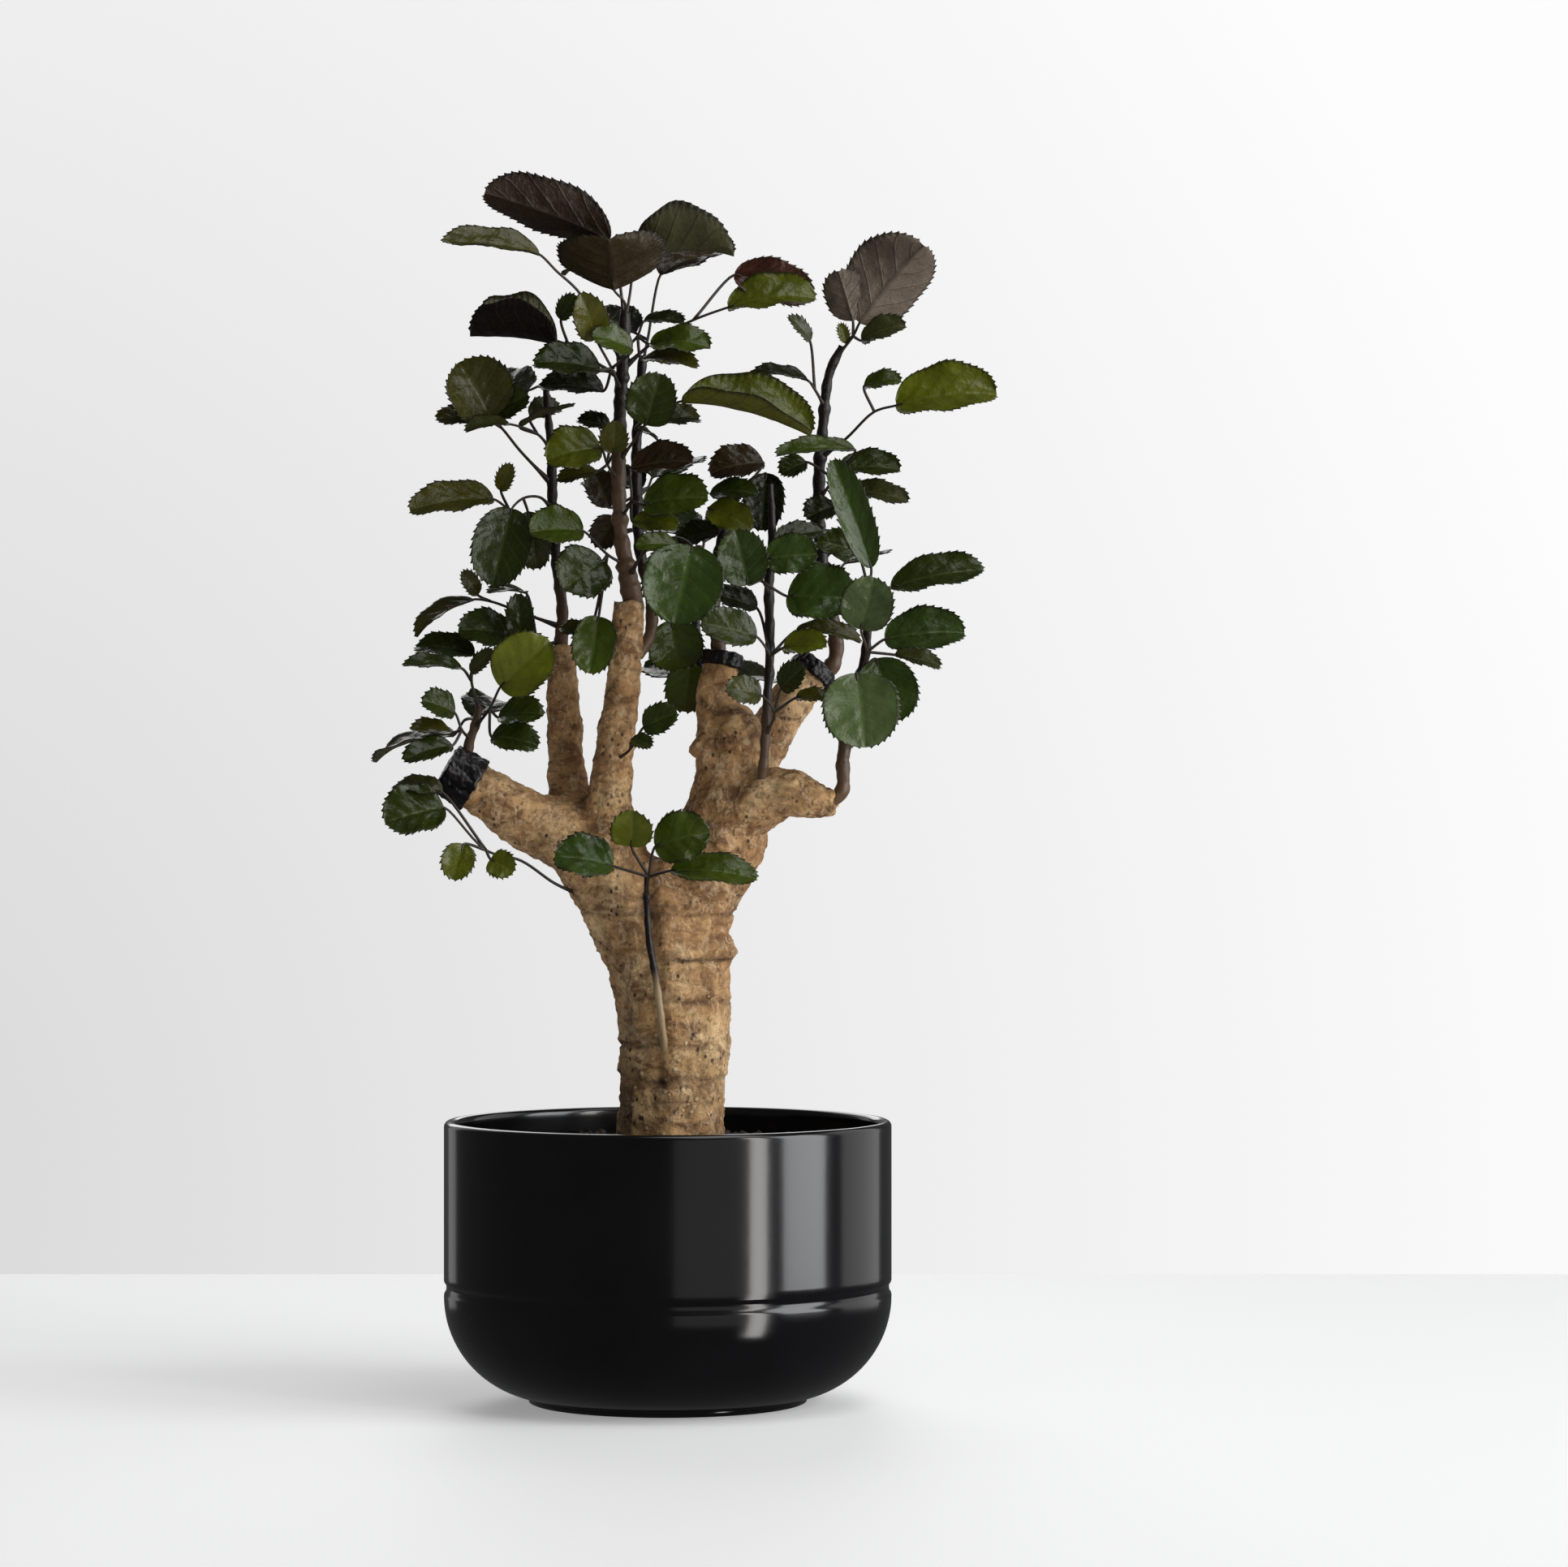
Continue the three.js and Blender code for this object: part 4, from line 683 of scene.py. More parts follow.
# Each leaf: the shoot it grows on, or None; the height or the place where its stalk starts; the
# stalk's points; and its leaflets as (base x, y, height, tip x, y, height, width, tilt, cup).
LEAVES = {
    "centre_1": ("centre", 506, [(-23, -4, 528)], [
        (-27, -2, 545, -86, -8, 566, 28, 145, 0.55),
        (-26, 4, 538, -50, 16, 532, 16, 60, 0.3),
    ]),
    "centre_2": ("centre", 488, [(-30, -14, 503), (-42, -20, 520), (-51, -24, 528)], [
        (-59, -26, 536, -104, -32, 540, 22, 60, 0.35),
    ]),
    "centre_3": ("centre", 509, [(-20, -8, 515)], [
        (-25, -10, 521, -27, -30, 542, 50, 143, 0.4),
    ]),
    "centre_4": ("centre", 480, [(-38, -4, 490), (-46, -3, 494)], [
        (-52, -2, 496, -93, -2, 499, 42, 80, 0.9),
        (-50, -10, 507, -43, -14, 518, 9, 30, 0.3),
    ]),
    "centre_5": ("centre", 504, [(-18, 4, 520)], [
        (-15, 6, 537, 31, 0, 540, 38, 100, 0.9),
    ]),
    "centre_6": ("centre", 494, [(-14, -12, 499)], [
        (-11, -14, 506, 8, -22, 505, 10, 50, 0.3),
        (-8, -16, 495, 20, -24, 494, 20, 50, 0.25),
        (-12, -16, 488, 14, -26, 485, 14, 55, 0.25),
    ]),
    "centre_7": ("centre", 474, [(-26, -12, 484)], [
        (-33, -20, 497, -39, -36, 516, 16, 20, 0.3),
        (-16, -21, 492, -34, -30, 498, 16, 35, 0.25),
        (-31, -17, 483, -62, -20, 486, 24, 50, 0.3),
        (-30, -7, 474, -60, -4, 476, 20, 55, 0.3),
    ]),
    "centre_8": ("centre", 484, [(-4, -4, 499), (12, -7, 507)], [
        (28, -8, 513, 69, -14, 518, 27, 50, 0.35),
        (31, 1, 529, 68, 0, 519, 22, 25, 0.3),
    ]),
    "centre_9": ("centre", 440, [(-15, -12, 451), (-6, -19, 462)], [
        (7, -24, 468, 67, -34, 451, 37, 72, 0.7),
        (-10, -19, 457, -3, -27, 480, 23, 12, 0.3),
        (-4, -16, 459, 15, -12, 461, 16, 50, 0.3),
        (-15, -9, 456, -4, -1, 451, 9, 60, 0.2),
    ]),
    "centre_10": ("centre", 414, [(-17, -12, 422)], [
        (-17, -14, 437, 12, -22, 440, 20, 45, 0.4),
        (-11, -20, 420, 19, -28, 423, 25, 35, 0.25),
        (-16, -18, 412, 5, -24, 410, 14, 40, 0.25),
    ]),
    "centre_11": ("centre", 432, [(-28, -12, 439)], [
        (-31, -14, 447, -56, -20, 441, 25, 35, 0.3),
        (-33, -11, 436, -51, -14, 431, 11, 50, 0.25),
        (-25, -18, 444, -24, -26, 458, 13, 10, 0.2),
        (-27, -6, 457, -42, -4, 460, 12, 50, 0.3),
    ]),
    "centre_12": ("centre", 392, [(-28, -12, 397)], [
        (-39, -14, 408, -64, -20, 407, 24, 42, 0.3),
        (-30, -18, 394, -48, -28, 380, 27, 15, 0.3),
        (-32, -14, 368, -36, -22, 341, 20, 5, 0.3),
        (-37, -12, 361, -50, -8, 363, 10, 45, 0.2),
    ]),
    "centre_13": ("centre", 386, [(-10, -22, 398), (4, -33, 404)], [
        (12, -38, 400, 4, -46, 364, 37, 10, 0.3),
        (5, -37, 400, -14, -39, 400, 13, 45, 0.2),
    ]),
    "centre_back_1": ("centre_back", 372, [(-2, 11, 374)], [
        (1, 12, 367, 5, 18, 344, 26, 20, 0.25),
        (2, 16, 378, 22, 31, 382, 20, 60, 0.25),
        (10, 26, 347, 7, 26, 324, 20, 15, 0.25),
    ]),
    "centre_back_2": ("centre_back", 424, [(-10, 20, 430)], [
        (-8, 30, 436, 8, 62, 446, 30, 60, 0.25),
        (-14, 28, 430, -38, 52, 434, 26, 60, 0.25),
        (-28, 7, 420, -35, 9, 437, 15, 25, 0.3),
        (-25, 9, 416, -33, 7, 401, 14, 20, 0.3),
    ]),
    "centre_back_3": ("centre_back", 486, [(-10, 18, 500)], [
        (-4, 26, 532, 22, 46, 544, 24, 60, 0.3),
        (-16, 24, 504, -36, 44, 514, 22, 60, 0.3),
    ]),
    "left_1": ("left", 432, [(-70, 14, 447), (-79, 11, 458)], [
        (-84, 9, 462, -98, 2, 488, 32, 30, 0.5),
        (-86, 8, 462, -109, 4, 461, 14, 45, 0.3),
        (-82, 10, 464, -66, 6, 473, 17, 30, 0.35),
    ]),
    "left_2": ("left", 448, [(-62, 12, 455)], [
        (-74, 0, 459, -94, -10, 456, 12, 60, 0.3),
        (-70, 6, 458, -44, -2, 467, 13, 84, 0.25),
        (-66, 22, 464, -52, 28, 470, 13, 40, 0.3),
    ]),
    "left_3": ("left", 404, [(-66, 14, 412), (-75, 9, 419)], [
        (-82, 5, 424, -121, -4, 418, 22, 48, 0.3),
        (-79, 8, 428, -74, 2, 440, 8, 20, 0.2),
    ]),
    "left_4": ("left", 420, [(-61, 8, 425), (-68, 1, 424)], [
        (-73, -4, 419, -82, -10, 383, 27, 0, 0.3),
        (-66, 4, 418, -62, 8, 391, 16, 20, 0.25),
    ]),
    "left_5": ("left", 364, [(-70, 18, 371), (-84, 14, 376)], [
        (-92, 9, 377, -119, 2, 361, 20, 78, 0.3),
        (-90, 13, 379, -97, 8, 390, 8, 30, 0.2),
    ]),
    "left_6": ("left", 357, [(-62, 14, 356)], [
        (-73, 8, 359, -98, 0, 363, 22, 38, 0.25),
        (-69, 4, 356, -70, -4, 379, 13, 10, 0.25),
        (-67, 12, 380, -84, 0, 380, 12, 72, 0.25),
    ]),
    "left_7": ("left", 474, [(-61, 30, 479)], [
        (-68, 40, 478, -90, 64, 485, 26, 65, 0.25),
        (-52, 34, 484, -34, 66, 488, 26, 60, 0.25),
    ]),
    "far_left_1": ("far_left", 316, [(-83, -12, 325)], [
        (-78, -15, 335, -55, -22, 356, 28, 12, 0.3),
        (-79, -14, 321, -58, -20, 323, 18, 45, 0.25),
        (-82, -16, 312, -60, -22, 308, 17, 40, 0.25),
    ]),
    "far_left_2": ("far_left", 325, [(-92, -4, 338)], [
        (-91, 2, 351, -119, 8, 355, 17, 50, 0.25),
        (-96, -8, 344, -123, -14, 345, 14, 62, 0.3),
        (-92, -8, 342, -81, -14, 352, 8, 30, 0.2),
    ]),
    "far_left_3": ("far_left", 311, [(-96, -12, 315)], [
        (-99, -13, 323, -114, -18, 329, 16, 40, 0.25),
        (-101, -12, 314, -119, -18, 316, 12, 55, 0.25),
        (-100, -17, 308, -122, -26, 301, 14, 45, 0.25),
    ]),
    "far_left_4": ("far_left", 320, [(-96, 10, 320)], [
        (-102, 18, 313, -141, 36, 303, 24, 70, 0.25),
        (-92, 20, 322, -78, 48, 330, 26, 60, 0.25),
    ]),
    "low_left": (None, (-36, -4, 236), [(-52, -12, 243), (-68, -18, 254), (-84, -24, 259)], [
        (-103, -30, 279, -130, -38, 272, 28, 35, 0.3),
        (-104, -28, 286, -127, -22, 288, 15, 60, 0.3),
        (-94, -28, 262, -99, -34, 246, 15, 5, 0.25),
        (-82, -26, 255, -71, -32, 249, 13, 10, 0.25),
    ]),
    "front_low": ("front_low", 238, [(-8, -41, 247)], [
        (-5, -44, 261, 20, -50, 268, 24, 20, 0.25),
        (2, -44, 250, 42, -52, 246, 20, 50, 0.25),
        (-24, -44, 252, -51, -46, 257, 24, 40, 0.25),
        (-16, -45, 261, -15, -54, 277, 19, 5, 0.2),
    ]),
    "middle_front": (None, (-24, -12, 301), [(-17, -23, 306)], [
        (-11, -26, 316, 5, -32, 323, 14, 20, 0.25),
        (-16, -26, 311, -7, -34, 307, 8, 30, 0.2),
    ]),
    "right_1": ("right", 492, [(87, 11, 501)], [
        (90, 8, 507, 120, -2, 543, 38, 150, 0.6),
        (87, 8, 508, 80, 2, 531, 20, 155, 0.4),
        (91, 10, 499, 111, 2, 506, 15, 40, 0.3),
        (84, 14, 498, 81, 12, 507, 5, 20, 0.3),
    ]),
    "right_2": ("right", 468, [(69, 12, 476)], [
        (66, 8, 480, 39, 0, 483, 13, 62, 0.3),
        (67, 14, 499, 57, 8, 510, 8, 40, 0.3),
    ]),
    "right_3": ("right", 444, [(84, 12, 453), (97, 6, 465)], [
        (107, 4, 468, 154, -6, 473, 32, 42, 0.35),
        (92, 4, 477, 109, -2, 480, 12, 45, 0.25),
    ]),
    "right_4": ("right", 424, [(78, 13, 434)], [
        (80, 9, 438, 109, 4, 438, 20, 50, 0.3),
        (84, 9, 428, 113, 6, 423, 15, 50, 0.3),
        (88, 3, 447, 51, -5, 444, 16, 60, 0.3),
        (79, 10, 421, 65, 6, 415, 15, 40, 0.3),
        (65, 13, 442, 53, 11, 436, 12, 35, 0.3),
    ]),
    "right_5": ("right", 384, [(80, 36, 391)], [
        (84, 44, 396, 97, 70, 402, 28, 62, 0.25),
        (74, 44, 397, 56, 74, 403, 28, 60, 0.25),
    ]),
    "middle_1": ("middle", 410, [(31, 1, 422)], [
        (45, 2, 441, 20, -5, 436, 20, 40, 0.35),
        (20, -6, 426, 42, -12, 426, 14, 45, 0.25),
        (19, -8, 419, 39, -16, 409, 17, 30, 0.25),
        (46, 3, 436, 44, -1, 409, 19, 15, 0.3),
        (24, 1, 409, 4, 2, 403, 15, 45, 0.3),
    ]),
    "front_right_1": ("front_right", 378, [(44, -30, 384)], [
        (38, -34, 382, 32, -40, 407, 23, 0, 0.3),
        (46, -32, 394, 70, -36, 396, 20, 22, 0.25),
        (56, -28, 377, 87, -36, 375, 30, 28, 0.3),
        (51, -29, 403, 73, -19, 407, 14, 50, 0.3),
    ]),
    "front_right_2": ("front_right", 340, [(48, -32, 349)], [
        (42, -36, 358, 16, -42, 364, 18, 25, 0.3),
        (54, -34, 353, 74, -42, 354, 15, 40, 0.3),
        (60, -28, 361, 90, -30, 357, 14, 60, 0.35),
        (42, -14, 372, 22, -12, 378, 14, 45, 0.3),
    ]),
    "front_right_3": ("front_right", 312, [(50, -32, 323)], [
        (44, -34, 331, 28, -40, 334, 14, 25, 0.25),
        (60, -33, 330, 75, -38, 330, 9, 45, 0.25),
        (53, -34, 334, 64, -42, 344, 13, 25, 0.25),
    ]),
    "far_right_1": ("far_right", 368, [(94, -26, 380)], [
        (95, -30, 390, 77, -32, 440, 16, 20, 0.5),
        (104, -24, 381, 147, -30, 389, 22, 45, 0.3),
        (88, -14, 399, 70, -10, 403, 15, 35, 0.3),
    ]),
    "far_right_2": ("far_right", 340, [(93, -30, 351)], [
        (90, -40, 361, 96, -48, 385, 24, 5, 0.25),
        (101, -32, 357, 138, -36, 360, 25, 38, 0.3),
        (106, -26, 350, 127, -24, 344, 12, 50, 0.35),
    ]),
    "far_right_3": ("far_right", 330, [(87, -29, 338)], [
        (88, -38, 341, 92, -46, 307, 35, 5, 0.25),
        (97, -27, 348, 107, -24, 319, 28, 8, 0.3),
    ]),
    "back_1": ("back", 330, [(14, 50, 336)], [
        (10, 58, 340, -14, 84, 346, 30, 60, 0.25),
        (20, 58, 338, 50, 78, 342, 28, 60, 0.25),
    ]),
    "back_2": ("back", 396, [(16, 52, 406)], [
        (12, 60, 410, -18, 88, 414, 32, 60, 0.25),
        (22, 58, 410, 44, 86, 418, 30, 60, 0.25),
    ]),
}

# One letter for each leaflet of a leaf, in the order of the rows above.
LEAF_TONES = {
    "centre_1": "pb",
    "centre_2": "b",
    "centre_3": "q",
    "centre_4": "wd",
    "centre_5": "k",
    "centre_6": "ngb",
    "centre_7": "bgdn",
    "centre_8": "ym",
    "centre_9": "ydkn",
    "centre_10": "pgy",
    "centre_11": "ybbn",
    "centre_12": "gdgb",
    "centre_13": "ug",
    "centre_back_1": "gng",
    "centre_back_2": "dnpp",
    "centre_back_3": "pn",
    "left_1": "bbd",
    "left_2": "kdk",
    "left_3": "bb",
    "left_4": "dk",
    "left_5": "bb",
    "left_6": "ddk",
    "left_7": "nn",
    "far_left_1": "ydd",
    "far_left_2": "ddk",
    "far_left_3": "dbd",
    "far_left_4": "kd",
    "low_left": "dkyy",
    "front_low": "gguy",
    "middle_front": "dd",
    "right_1": "hhky",
    "right_2": "nk",
    "right_3": "yg",
    "right_4": "dkgnd",
    "right_5": "dn",
    "middle_1": "pdynn",
    "front_right_1": "uuud",
    "front_right_2": "dybn",
    "front_right_3": "kbd",
    "far_right_1": "udd",
    "far_right_2": "vuk",
    "far_right_3": "vu",
    "back_1": "dn",
    "back_2": "dn",
}
# The colours of a leaflet's upper and under side.
TONES = {
    # painted shade: tone n is a near-black green that stands in for the deep shade on leaflets set back in
    # the crown
    "n": ((0.010, 0.013, 0.001), (0.015, 0.014, 0.004)),  # deep shade
    "d": ((0.025, 0.036, 0.002), (0.038, 0.038, 0.008)),  # dark green
    "g": ((0.044, 0.068, 0.003), (0.060, 0.064, 0.011)),  # mid green
    "y": ((0.104, 0.122, 0.004), (0.118, 0.116, 0.014)),  # fresh yellow green
    "b": ((0.064, 0.060, 0.005), (0.074, 0.054, 0.014)),  # bronze green
    "p": ((0.031, 0.016, 0.006), (0.042, 0.022, 0.011)),  # purple brown
    "q": ((0.048, 0.040, 0.009), (0.038, 0.025, 0.008)),  # brown green
    "w": ((0.054, 0.060, 0.005), (0.009, 0.005, 0.003)),  # green with a nearly black underside
    "m": ((0.052, 0.011, 0.007), (0.088, 0.044, 0.030)),  # maroon
    "u": ((0.034, 0.062, 0.008), (0.056, 0.074, 0.022)),  # bluish green
    "v": ((0.080, 0.116, 0.038), (0.090, 0.116, 0.044)),  # pale bluish green
    "k": ((0.050, 0.055, 0.014), (0.080, 0.078, 0.032)),  # greyish green
    "h": ((0.078, 0.056, 0.034), (0.118, 0.090, 0.066)),  # silvery purple
}
STALK_TONE = (0.045, 0.032, 0.022)
STALK_RADIUS = 0.75
BLADE_THICKNESS = 0.45
ARCH = 0.06
STALK_IN_BLADE = 4
BLADE_COLUMNS = (-1, -0.94, -0.82, -0.64, -0.44, -0.26, -0.12, -0.04)
BLADE_COLUMNS = np.array([*BLADE_COLUMNS, *[-s for s in reversed(BLADE_COLUMNS)]])
SHOOT_STEP = 0.9
SHOOT_SIDES = 14
JOINT_SPACING = 11
WOODY_CENTRE = 70  # how far up the centre shoot is woody, and then the others
WOODY_SIDE = 26
CREAM_BELOW = 192  # the low front shoot is cream up to here, and purple above
WOODY = (0.15, 0.085, 0.042)
PURPLE = (0.016, 0.009, 0.008)
CREAM = (0.50, 0.36, 0.20)


def shoot_line(rows):
    """A shoot's middle line as fine points, with its radius at each of them."""
    line = smooth_curve([row[:3] for row in rows], 12)
    run = np.concatenate([[0], np.cumsum(np.linalg.norm(np.diff(line, axis=0), axis=1))])
    knots = np.concatenate([[0], np.cumsum([math.dist(a[:3], b[:3]) for a, b in zip(rows, rows[1:])])])
    radii = np.interp(run / run[-1], knots / knots[-1], [row[3] for row in rows])
    return line, radii, run


def shoot_point(rows, height):
    line = smooth_curve([row[:3] for row in rows], 24)
    return line[int(np.argmin(np.abs(line[:, 2] - height)))]


def shoot(name, rows):
    """A shoot with a slight swelling and a scar at each joint where a leaf grows or grew."""
    line, radii, run = shoot_line(rows)
    fine = np.arange(0, run[-1], SHOOT_STEP)
    path = np.stack([np.interp(fine, run, line[:, k]) for k in range(3)], axis=1)
    radius = np.interp(fine, run, radii)
    rng = random.Random(name)
    joints = [leaf[1] for leaf in LEAVES.values() if leaf[0] == name]
    joints += [h for h in np.arange(rows[0][2] + 6, rows[-1][2], JOINT_SPACING) + rng.uniform(-2, 2)]
    for joint in joints:
        away = path[:, 2] - joint
        swelling = 0.16 * np.exp(-((away / 2.4) ** 2))
        scar = 0.06 * np.exp(-(((away - 3.5) / 1.2) ** 2))
        radius = radius * (1 + swelling - scar)
    points, faces = tube(path, radius, SHOOT_SIDES)
    for i, p in enumerate(points[:-2]):
        grain = noise.noise(Vector((p[0] * 1.1, p[1] * 1.1, p[2] * 0.25)))
        points[i] += (p - path[i // SHOOT_SIDES]) * 0.12 * grain
    piece = mesh_object("stem_" + name, points, faces, [STEM])
    height = points[:, 2]
    woody_to = rows[0][2] + (WOODY_CENTRE if name == "centre" else WOODY_SIDE)
    share = np.clip((height - woody_to + 22) / 44, 0, 1)[:, None]
    low = np.array(WOODY)
    if name == "front_low":
        low = np.array(CREAM)
        share = np.clip((height - CREAM_BELOW) / 12, 0, 1)[:, None]
    colour_points(piece, low * (1 - share) + np.array(PURPLE) * share)
    finish_piece(piece, "stem", "shoot_" + name)


def blade_shape(t):
    """Half width at the share t of the length, as a share of the widest."""
    return np.sqrt(np.clip(1 - np.abs(2 * t - 1) ** 2.4, 0, 1))


def blade_axes(row):
    base = np.array(row[:3], dtype=float)
    along = np.array(row[3:6], dtype=float) - base
    length = float(np.linalg.norm(along))
    along /= length
    tilt = math.radians(row[7])
    up = np.array([0, -math.cos(tilt), math.sin(tilt)])
    across = np.cross(along, up)
    across /= np.linalg.norm(across)
    return base, along, across, np.cross(across, along), length


TOOTH_SPACING = 4.2
TOOTH_LENGTH = 1.15
EDGE_THICKNESS = 0.12
QUILTED_WIDTH = 28  # a leaflet this wide or wider is quilted in full


def blade_stations(length, width):
    """Shares of the length at which the edge has a tooth's foot, flank or tip, and how far out each is."""
    teeth = max(9, round((length + width) / TOOTH_SPACING))
    turn = np.array([(k + part) / teeth for k in range(teeth) for part in (0.0, 0.55, 0.9)] + [1.0])
    bristle = np.array([0.0, 0.35, 1.0] * teeth + [0.0])
    turn = 0.035 + 0.93 * turn
    return (1 - np.cos(math.pi * turn)) / 2, bristle


def blade_rise(row, length, tt, ss, ww, rng):
    """Height of the skin over the blade's plane: its cup, arch, quilted veins, waves, curl and puckers."""
    seed = rng.uniform(0, 90)
    size = min(1.0, row[6] / QUILTED_WIDTH)
    ribs = LATERAL_VEINS * (tt - VEIN_SLANT * np.abs(ss)) + 10
    pillow = np.sin(math.pi * (ribs % 1.0)) ** 2
    envelope = np.sin(math.pi * np.clip(np.abs(ss), 0, 0.97)) * np.sin(math.pi * tt) ** 0.5
    rise = row[8] * ww * ss**2 + ARCH * length * 4 * tt * (1 - tt)
    rise += size * 1.15 * (pillow - 0.4) * envelope
    rise -= size * 0.7 * np.exp(-((ss * ww / 1.1) ** 2))
    wave_phase = np.where(ss < 0, seed, seed * 1.7)
    rise += size * 1.0 * ss**2 * np.sin(2 * math.pi * 2.1 * tt + wave_phase)
    curl = rng.uniform(-0.16, 0.10)
    rise += curl * length * np.clip(tt - 0.55, 0, 1) ** 2 * 2
    pucker = [noise.noise(Vector((a * 4.5, b * 2.6, seed))) for a, b in zip(tt.ravel(), ss.ravel())]
    return rise + size * 0.9 * np.array(pucker).reshape(tt.shape) * (0.3 + 0.7 * ss**2)


def skin_faces(rows, columns):
    """Faces of two skins on one grid, closed along the edge, and the kind of each: 0 upper, 1 under."""
    faces, kinds = [], []
    count = rows * columns
    for i in range(rows - 1):
        for j in range(columns - 1):
            a, b = i * columns + j, (i + 1) * columns + j
            faces.append((a, a + 1, b + 1, b))
            faces.append((a + count, b + count, b + count + 1, a + count + 1))
            kinds += [0, 1]
    edge = list(range(columns))
    edge += [i * columns + columns - 1 for i in range(1, rows)]
    edge += [(rows - 1) * columns + j for j in range(columns - 2, -1, -1)]
    edge += [i * columns for i in range(rows - 2, 0, -1)]
    for a, b in zip(edge, edge[1:] + edge[:1]):
        faces.append((b, a, a + count, b + count))
        kinds.append(1)
    return faces, kinds


def blade(row, rng):
    """A leaflet's two skins as points, faces, face kinds and UVs."""
    base, along, across, up, length = blade_axes(row)
    t, bristle = blade_stations(length, row[6])
    wide = row[6] / 2 * blade_shape(t)
    tt, ss = np.meshgrid(t, BLADE_COLUMNS, indexing="ij")
    ww = wide[:, None] * np.ones_like(ss)
    rise = blade_rise(row, length, tt, ss, ww, rng)
    out = np.where(np.abs(ss) > 0.99, 1.0, np.where(np.abs(ss) > 0.9, 0.25, 0.0)) * bristle[:, None]
    sideways = ss * ww + np.sign(ss) * out * TOOTH_LENGTH * np.abs(blade_shape(tt))
    forward = tt * length + out * (0.55 + 0.9 * (tt - 0.5))
    middle = base + forward[..., None] * along + sideways[..., None] * across + rise[..., None] * up
    skin = np.where(np.abs(ss) > 0.99, EDGE_THICKNESS, BLADE_THICKNESS / 2)
    rib = 0.45 * np.exp(-((ss * ww / 0.7) ** 2)) * (1 - tt) ** 0.6 * min(1.0, row[6] / QUILTED_WIDTH)
    top = (middle + skin[..., None] * up).reshape(-1, 3)
    under = (middle - (skin + rib)[..., None] * up).reshape(-1, 3)
    uv = np.stack([ss.ravel() * 0.5 + 0.5, tt.ravel()], axis=1)
    return np.concatenate([top, under]), *skin_faces(*tt.shape), np.concatenate([uv, uv])


def leaf(name, shoot_name, start, stalk, leaflets):
    """A compound leaf: a stalk with a sheathed foot, and its leaflets on short stalks of their own."""
    rng = random.Random(name)
    root = shoot_point(SHOOTS[shoot_name], start) if shoot_name else np.array(start, dtype=float)
    points, faces, kinds, uvs, colours = [], [], [], [], []

    def add(new_points, new_faces, new_kinds, new_uvs, colour):
        offset = sum(len(p) for p in points)
        points.append(new_points)
        faces.extend(tuple(i + offset for i in face) for face in new_faces)
        kinds.extend(new_kinds)
        uvs.append(new_uvs)
        colours.append(np.repeat(colour, len(new_points) // len(colour), axis=0))

    for i, (row, tone) in enumerate(zip(leaflets, LEAF_TONES[name])):
        base, along, _, up, length = blade_axes(row)
        t = STALK_IN_BLADE / length
        inside = base + along * STALK_IN_BLADE + up * (ARCH * length * 4 * t * (1 - t) - 0.45)
        knots = [stalk[-1], base - up * 0.3, inside] if i else [root, *stalk, base - up * 0.3, inside]
        line = smooth_curve(knots, 7)
        run = np.linspace(0, 1, len(line))
        radii = STALK_RADIUS * (1 - 0.3 * run)
        if i == 0:
            radii = radii + 0.9 * np.exp(-((run / 0.09) ** 2))
        radii[-1] *= 0.4
        tube_points, tube_faces = tube(line, radii, 8)
        shade = rng.uniform(0.7, 1.4)
        stalk_colour = [np.array(STALK_TONE) * shade]
        add(tube_points, tube_faces, [2] * len(tube_faces), np.zeros((len(tube_points), 2)), stalk_colour)
        jitter = rng.uniform(0.82, 1.22)
        upper, under = (np.array(colour) * jitter for colour in TONES[tone])
        add(*blade(row, rng), (upper, under))
    skins = [LEAF_TOP, LEAF_UNDER, STEM]
    piece = mesh_object("leaf_" + name + "_blades", np.concatenate(points), faces, skins, kinds)
    colour_points(piece, np.concatenate(colours))
    layer = piece.data.uv_layers.new(name="UVMap")
    corners = np.empty(len(piece.data.loops), dtype=np.int32)
    piece.data.loops.foreach_get("vertex_index", corners)
    layer.data.foreach_set("uv", np.concatenate(uvs)[corners].astype(np.float32).ravel())
    finish_piece(piece, "leaf", "leaf_" + name)


# ---------------- the plant

planter()
soil()
scattered("soil_crumbs", 420, (0.5, 1.9), CRUMB, 11)
scattered("soil_clods", 60, (1.8, 3.4), CRUMB, 12, near_edge=True)
scattered("pale_chips", 16, (0.8, 1.7), CHIP, 13, flat=0.5)
trunk()
for cap in ("wax_cap_left", "wax_cap_middle", "wax_cap_right"):
    wax_cap(cap)
for shoot_name, shoot_rows in SHOOTS.items():
    shoot(shoot_name, shoot_rows)
for leaf_name, leaf_rows in LEAVES.items():
    leaf(leaf_name, *leaf_rows)


# ---------------- floor, backdrop and light

TABLE_SIDE = 4.0
TABLE_FRONT = -6.0
TABLE_BACK = 0.62
ROOM_RADIUS = 9.0
SHADE_CENTRE = (-2.3, 8.6, -0.6)
SHADE_REACH = 4.4


def stage_material(name, colour, glow):
    s = Shader(name, Roughness=0.6, Emission_Strength=glow)
    s.surface.inputs["Base Color"].default_value = colour
    return s


def table():
    """A plain pale table top, left out of mirror reflections, which keeps the glaze black."""
    corners = [(-TABLE_SIDE, TABLE_FRONT, 0), (TABLE_SIDE, TABLE_FRONT, 0)]
    corners += [(TABLE_SIDE, TABLE_BACK, 0), (-TABLE_SIDE, TABLE_BACK, 0)]
    shader = stage_material("table_top", grey(0.9), 0.28)
    shader.surface.inputs["Emission Color"].default_value = grey(1)
    made = mesh_object("floor", np.array(corners) / MM, [(0, 1, 2, 3)], [shader.material])
    made.visible_glossy = False


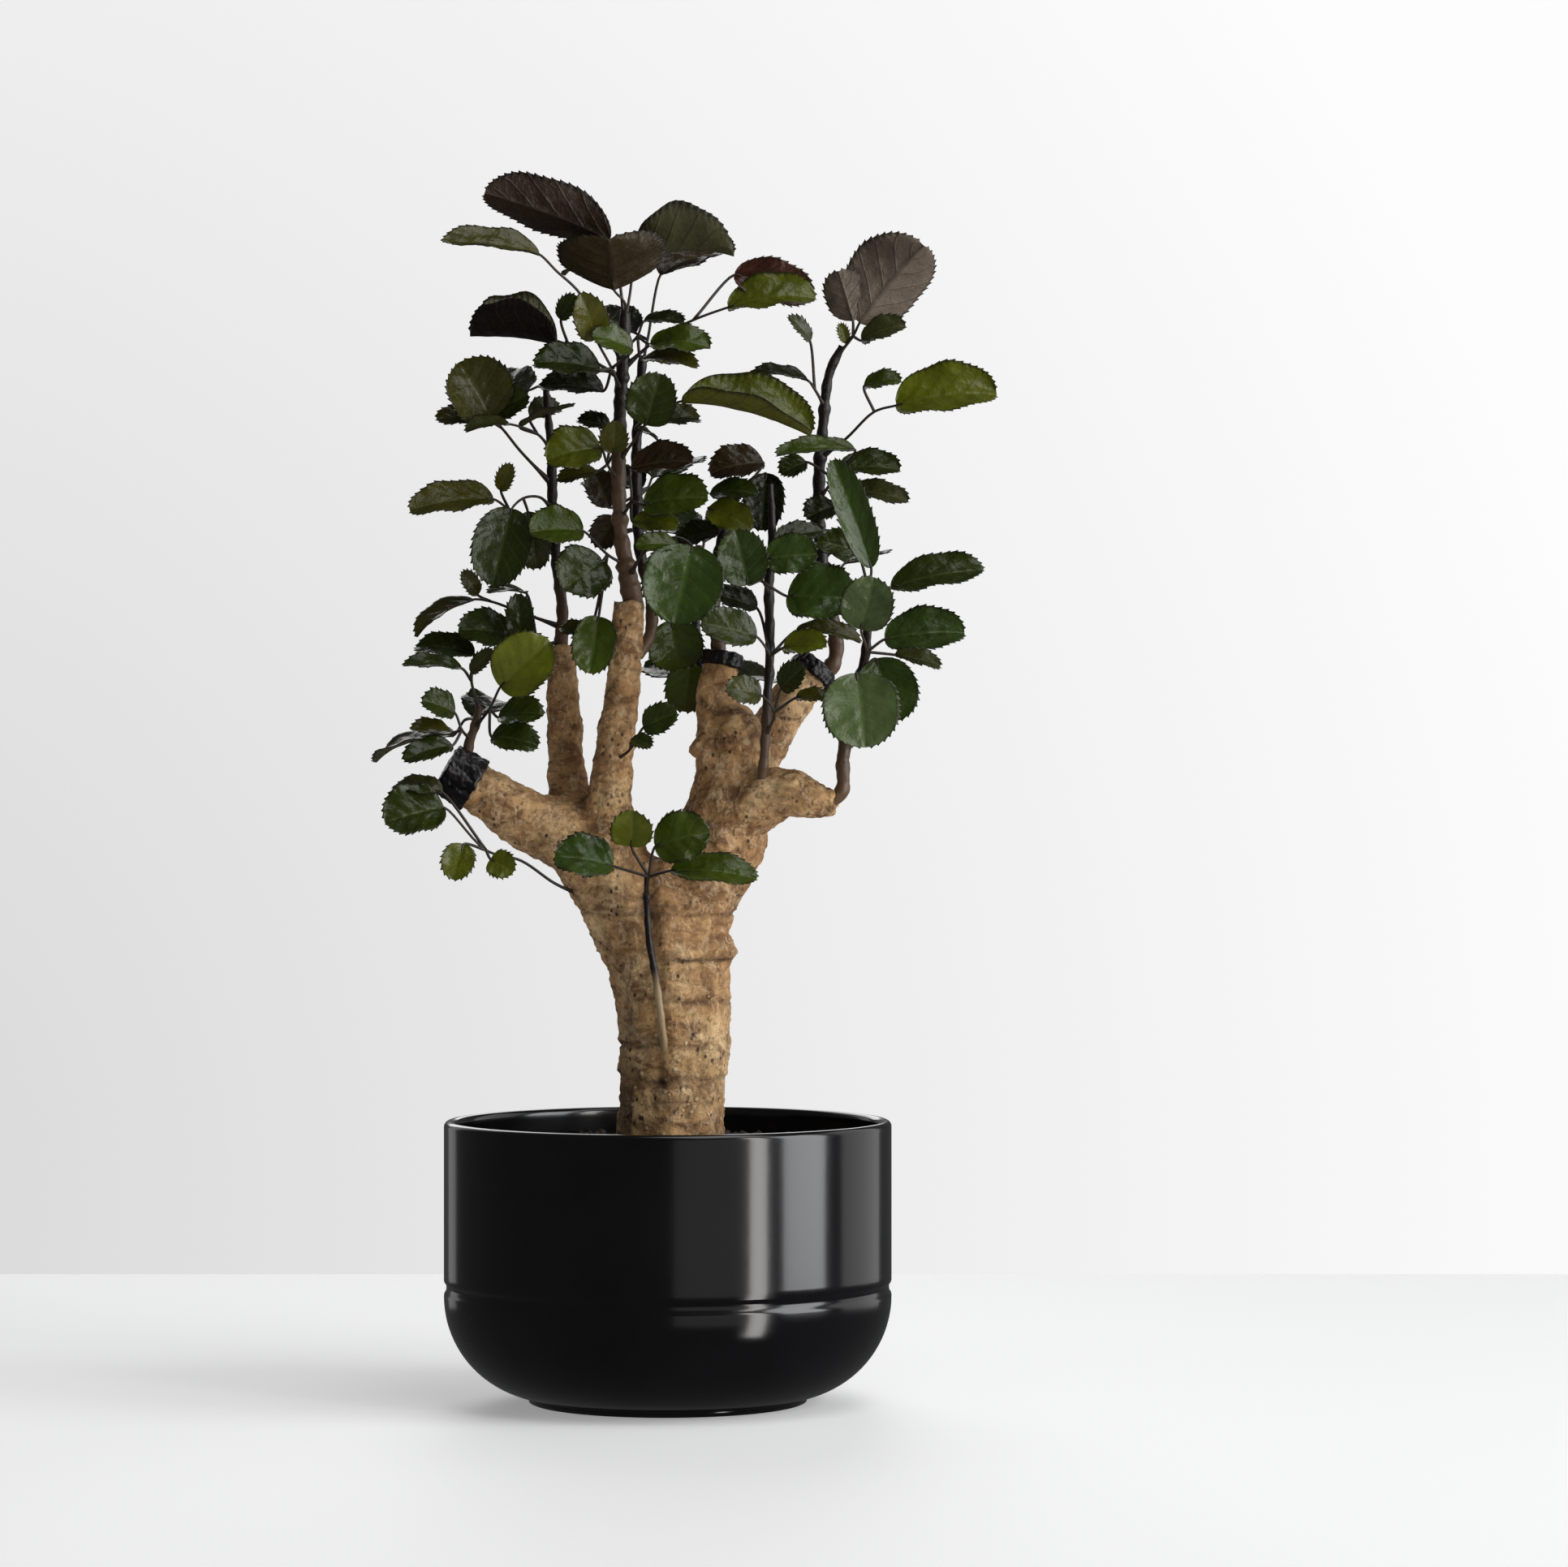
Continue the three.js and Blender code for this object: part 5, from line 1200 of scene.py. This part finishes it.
def backdrop():
    """A plain pale room round the table, in soft shade to the left. It only shows, and lights nothing."""
    shader = stage_material("pale_room", grey(0), 1.0)
    place = shader.node("TexCoord").outputs["Object"]
    away = shader.node("VectorMath", {0: place, 1: SHADE_CENTRE}, operation="DISTANCE").outputs["Value"]
    share = shader.math("DIVIDE", away, SHADE_REACH)
    shader.set("Emission Color", shader.ramp(share, (0.0, grey(0.66)), (0.45, grey(0.8)), (1.0, grey(0.98))))
    ball = bmesh.new()
    bmesh.ops.create_uvsphere(ball, u_segments=64, v_segments=32, radius=ROOM_RADIUS)
    mesh = bpy.data.meshes.new("backdrop")
    ball.to_mesh(mesh)
    ball.free()
    mesh.materials.append(shader.material)
    made = bpy.data.objects.new("backdrop", mesh)
    bpy.context.scene.collection.objects.link(made)
    for kind in ("diffuse", "glossy", "transmission", "volume_scatter", "shadow"):
        setattr(made, "visible_" + kind, False)


def area_light(name, place, aim, size, power, colour=(1, 1, 1)):
    data = bpy.data.lights.new(name, "AREA")
    data.shape = "RECTANGLE"
    data.size, data.size_y = size
    data.energy = power
    data.color = colour
    made = bpy.data.objects.new(name, data)
    made.location = place
    made.rotation_euler = (Vector(aim) - Vector(place)).to_track_quat("-Z", "Y").to_euler()
    made.visible_camera = False
    bpy.context.scene.collection.objects.link(made)


def around(azimuth, distance, height):
    """A place round the planter; azimuth 0 is towards the camera and 90 to the right."""
    a = math.radians(azimuth)
    return (distance * math.sin(a), -distance * math.cos(a), height)


def lights():
    """A tall window in front to the right, a soft one beside it, dim walls and a fill behind."""
    area_light("window_strip", around(47, 2.0, 0.35), (0, 0, 0.35), (0.32, 2.6), 17, (1.0, 0.98, 0.95))
    area_light("window_side", around(74, 2.2, 0.8), (0, 0, 0.4), (1.1, 2.1), 32, (0.96, 0.98, 1.0))
    area_light("overhead", (0.6, -0.6, 2.2), (0, 0, 0.3), (1.4, 1.4), 13)
    area_light("room_front", around(22, 3.6, 0.2), (0, 0, 0.2), (2.3, 2.4), 5)
    area_light("wall_right", around(118, 1.6, 0.6), (0, 0, 0.3), (1.2, 1.6), 4)
    area_light("wall_left", around(-142, 1.6, 0.6), (0, 0, 0.3), (0.4, 1.6), 0.8)
    area_light("back_fill", around(188, 2.6, 1.5), (0, 0, 0.3), (1.8, 1.8), 20)


def room_light():
    """The little light that comes from everywhere."""
    world = bpy.data.worlds.new("world")
    bpy.context.scene.world = world
    world.use_nodes = True
    background = world.node_tree.nodes["Background"]
    background.inputs["Color"].default_value = (0.97, 0.98, 1.0, 1)
    background.inputs["Strength"].default_value = 0.065


table()
backdrop()
lights()
room_light()
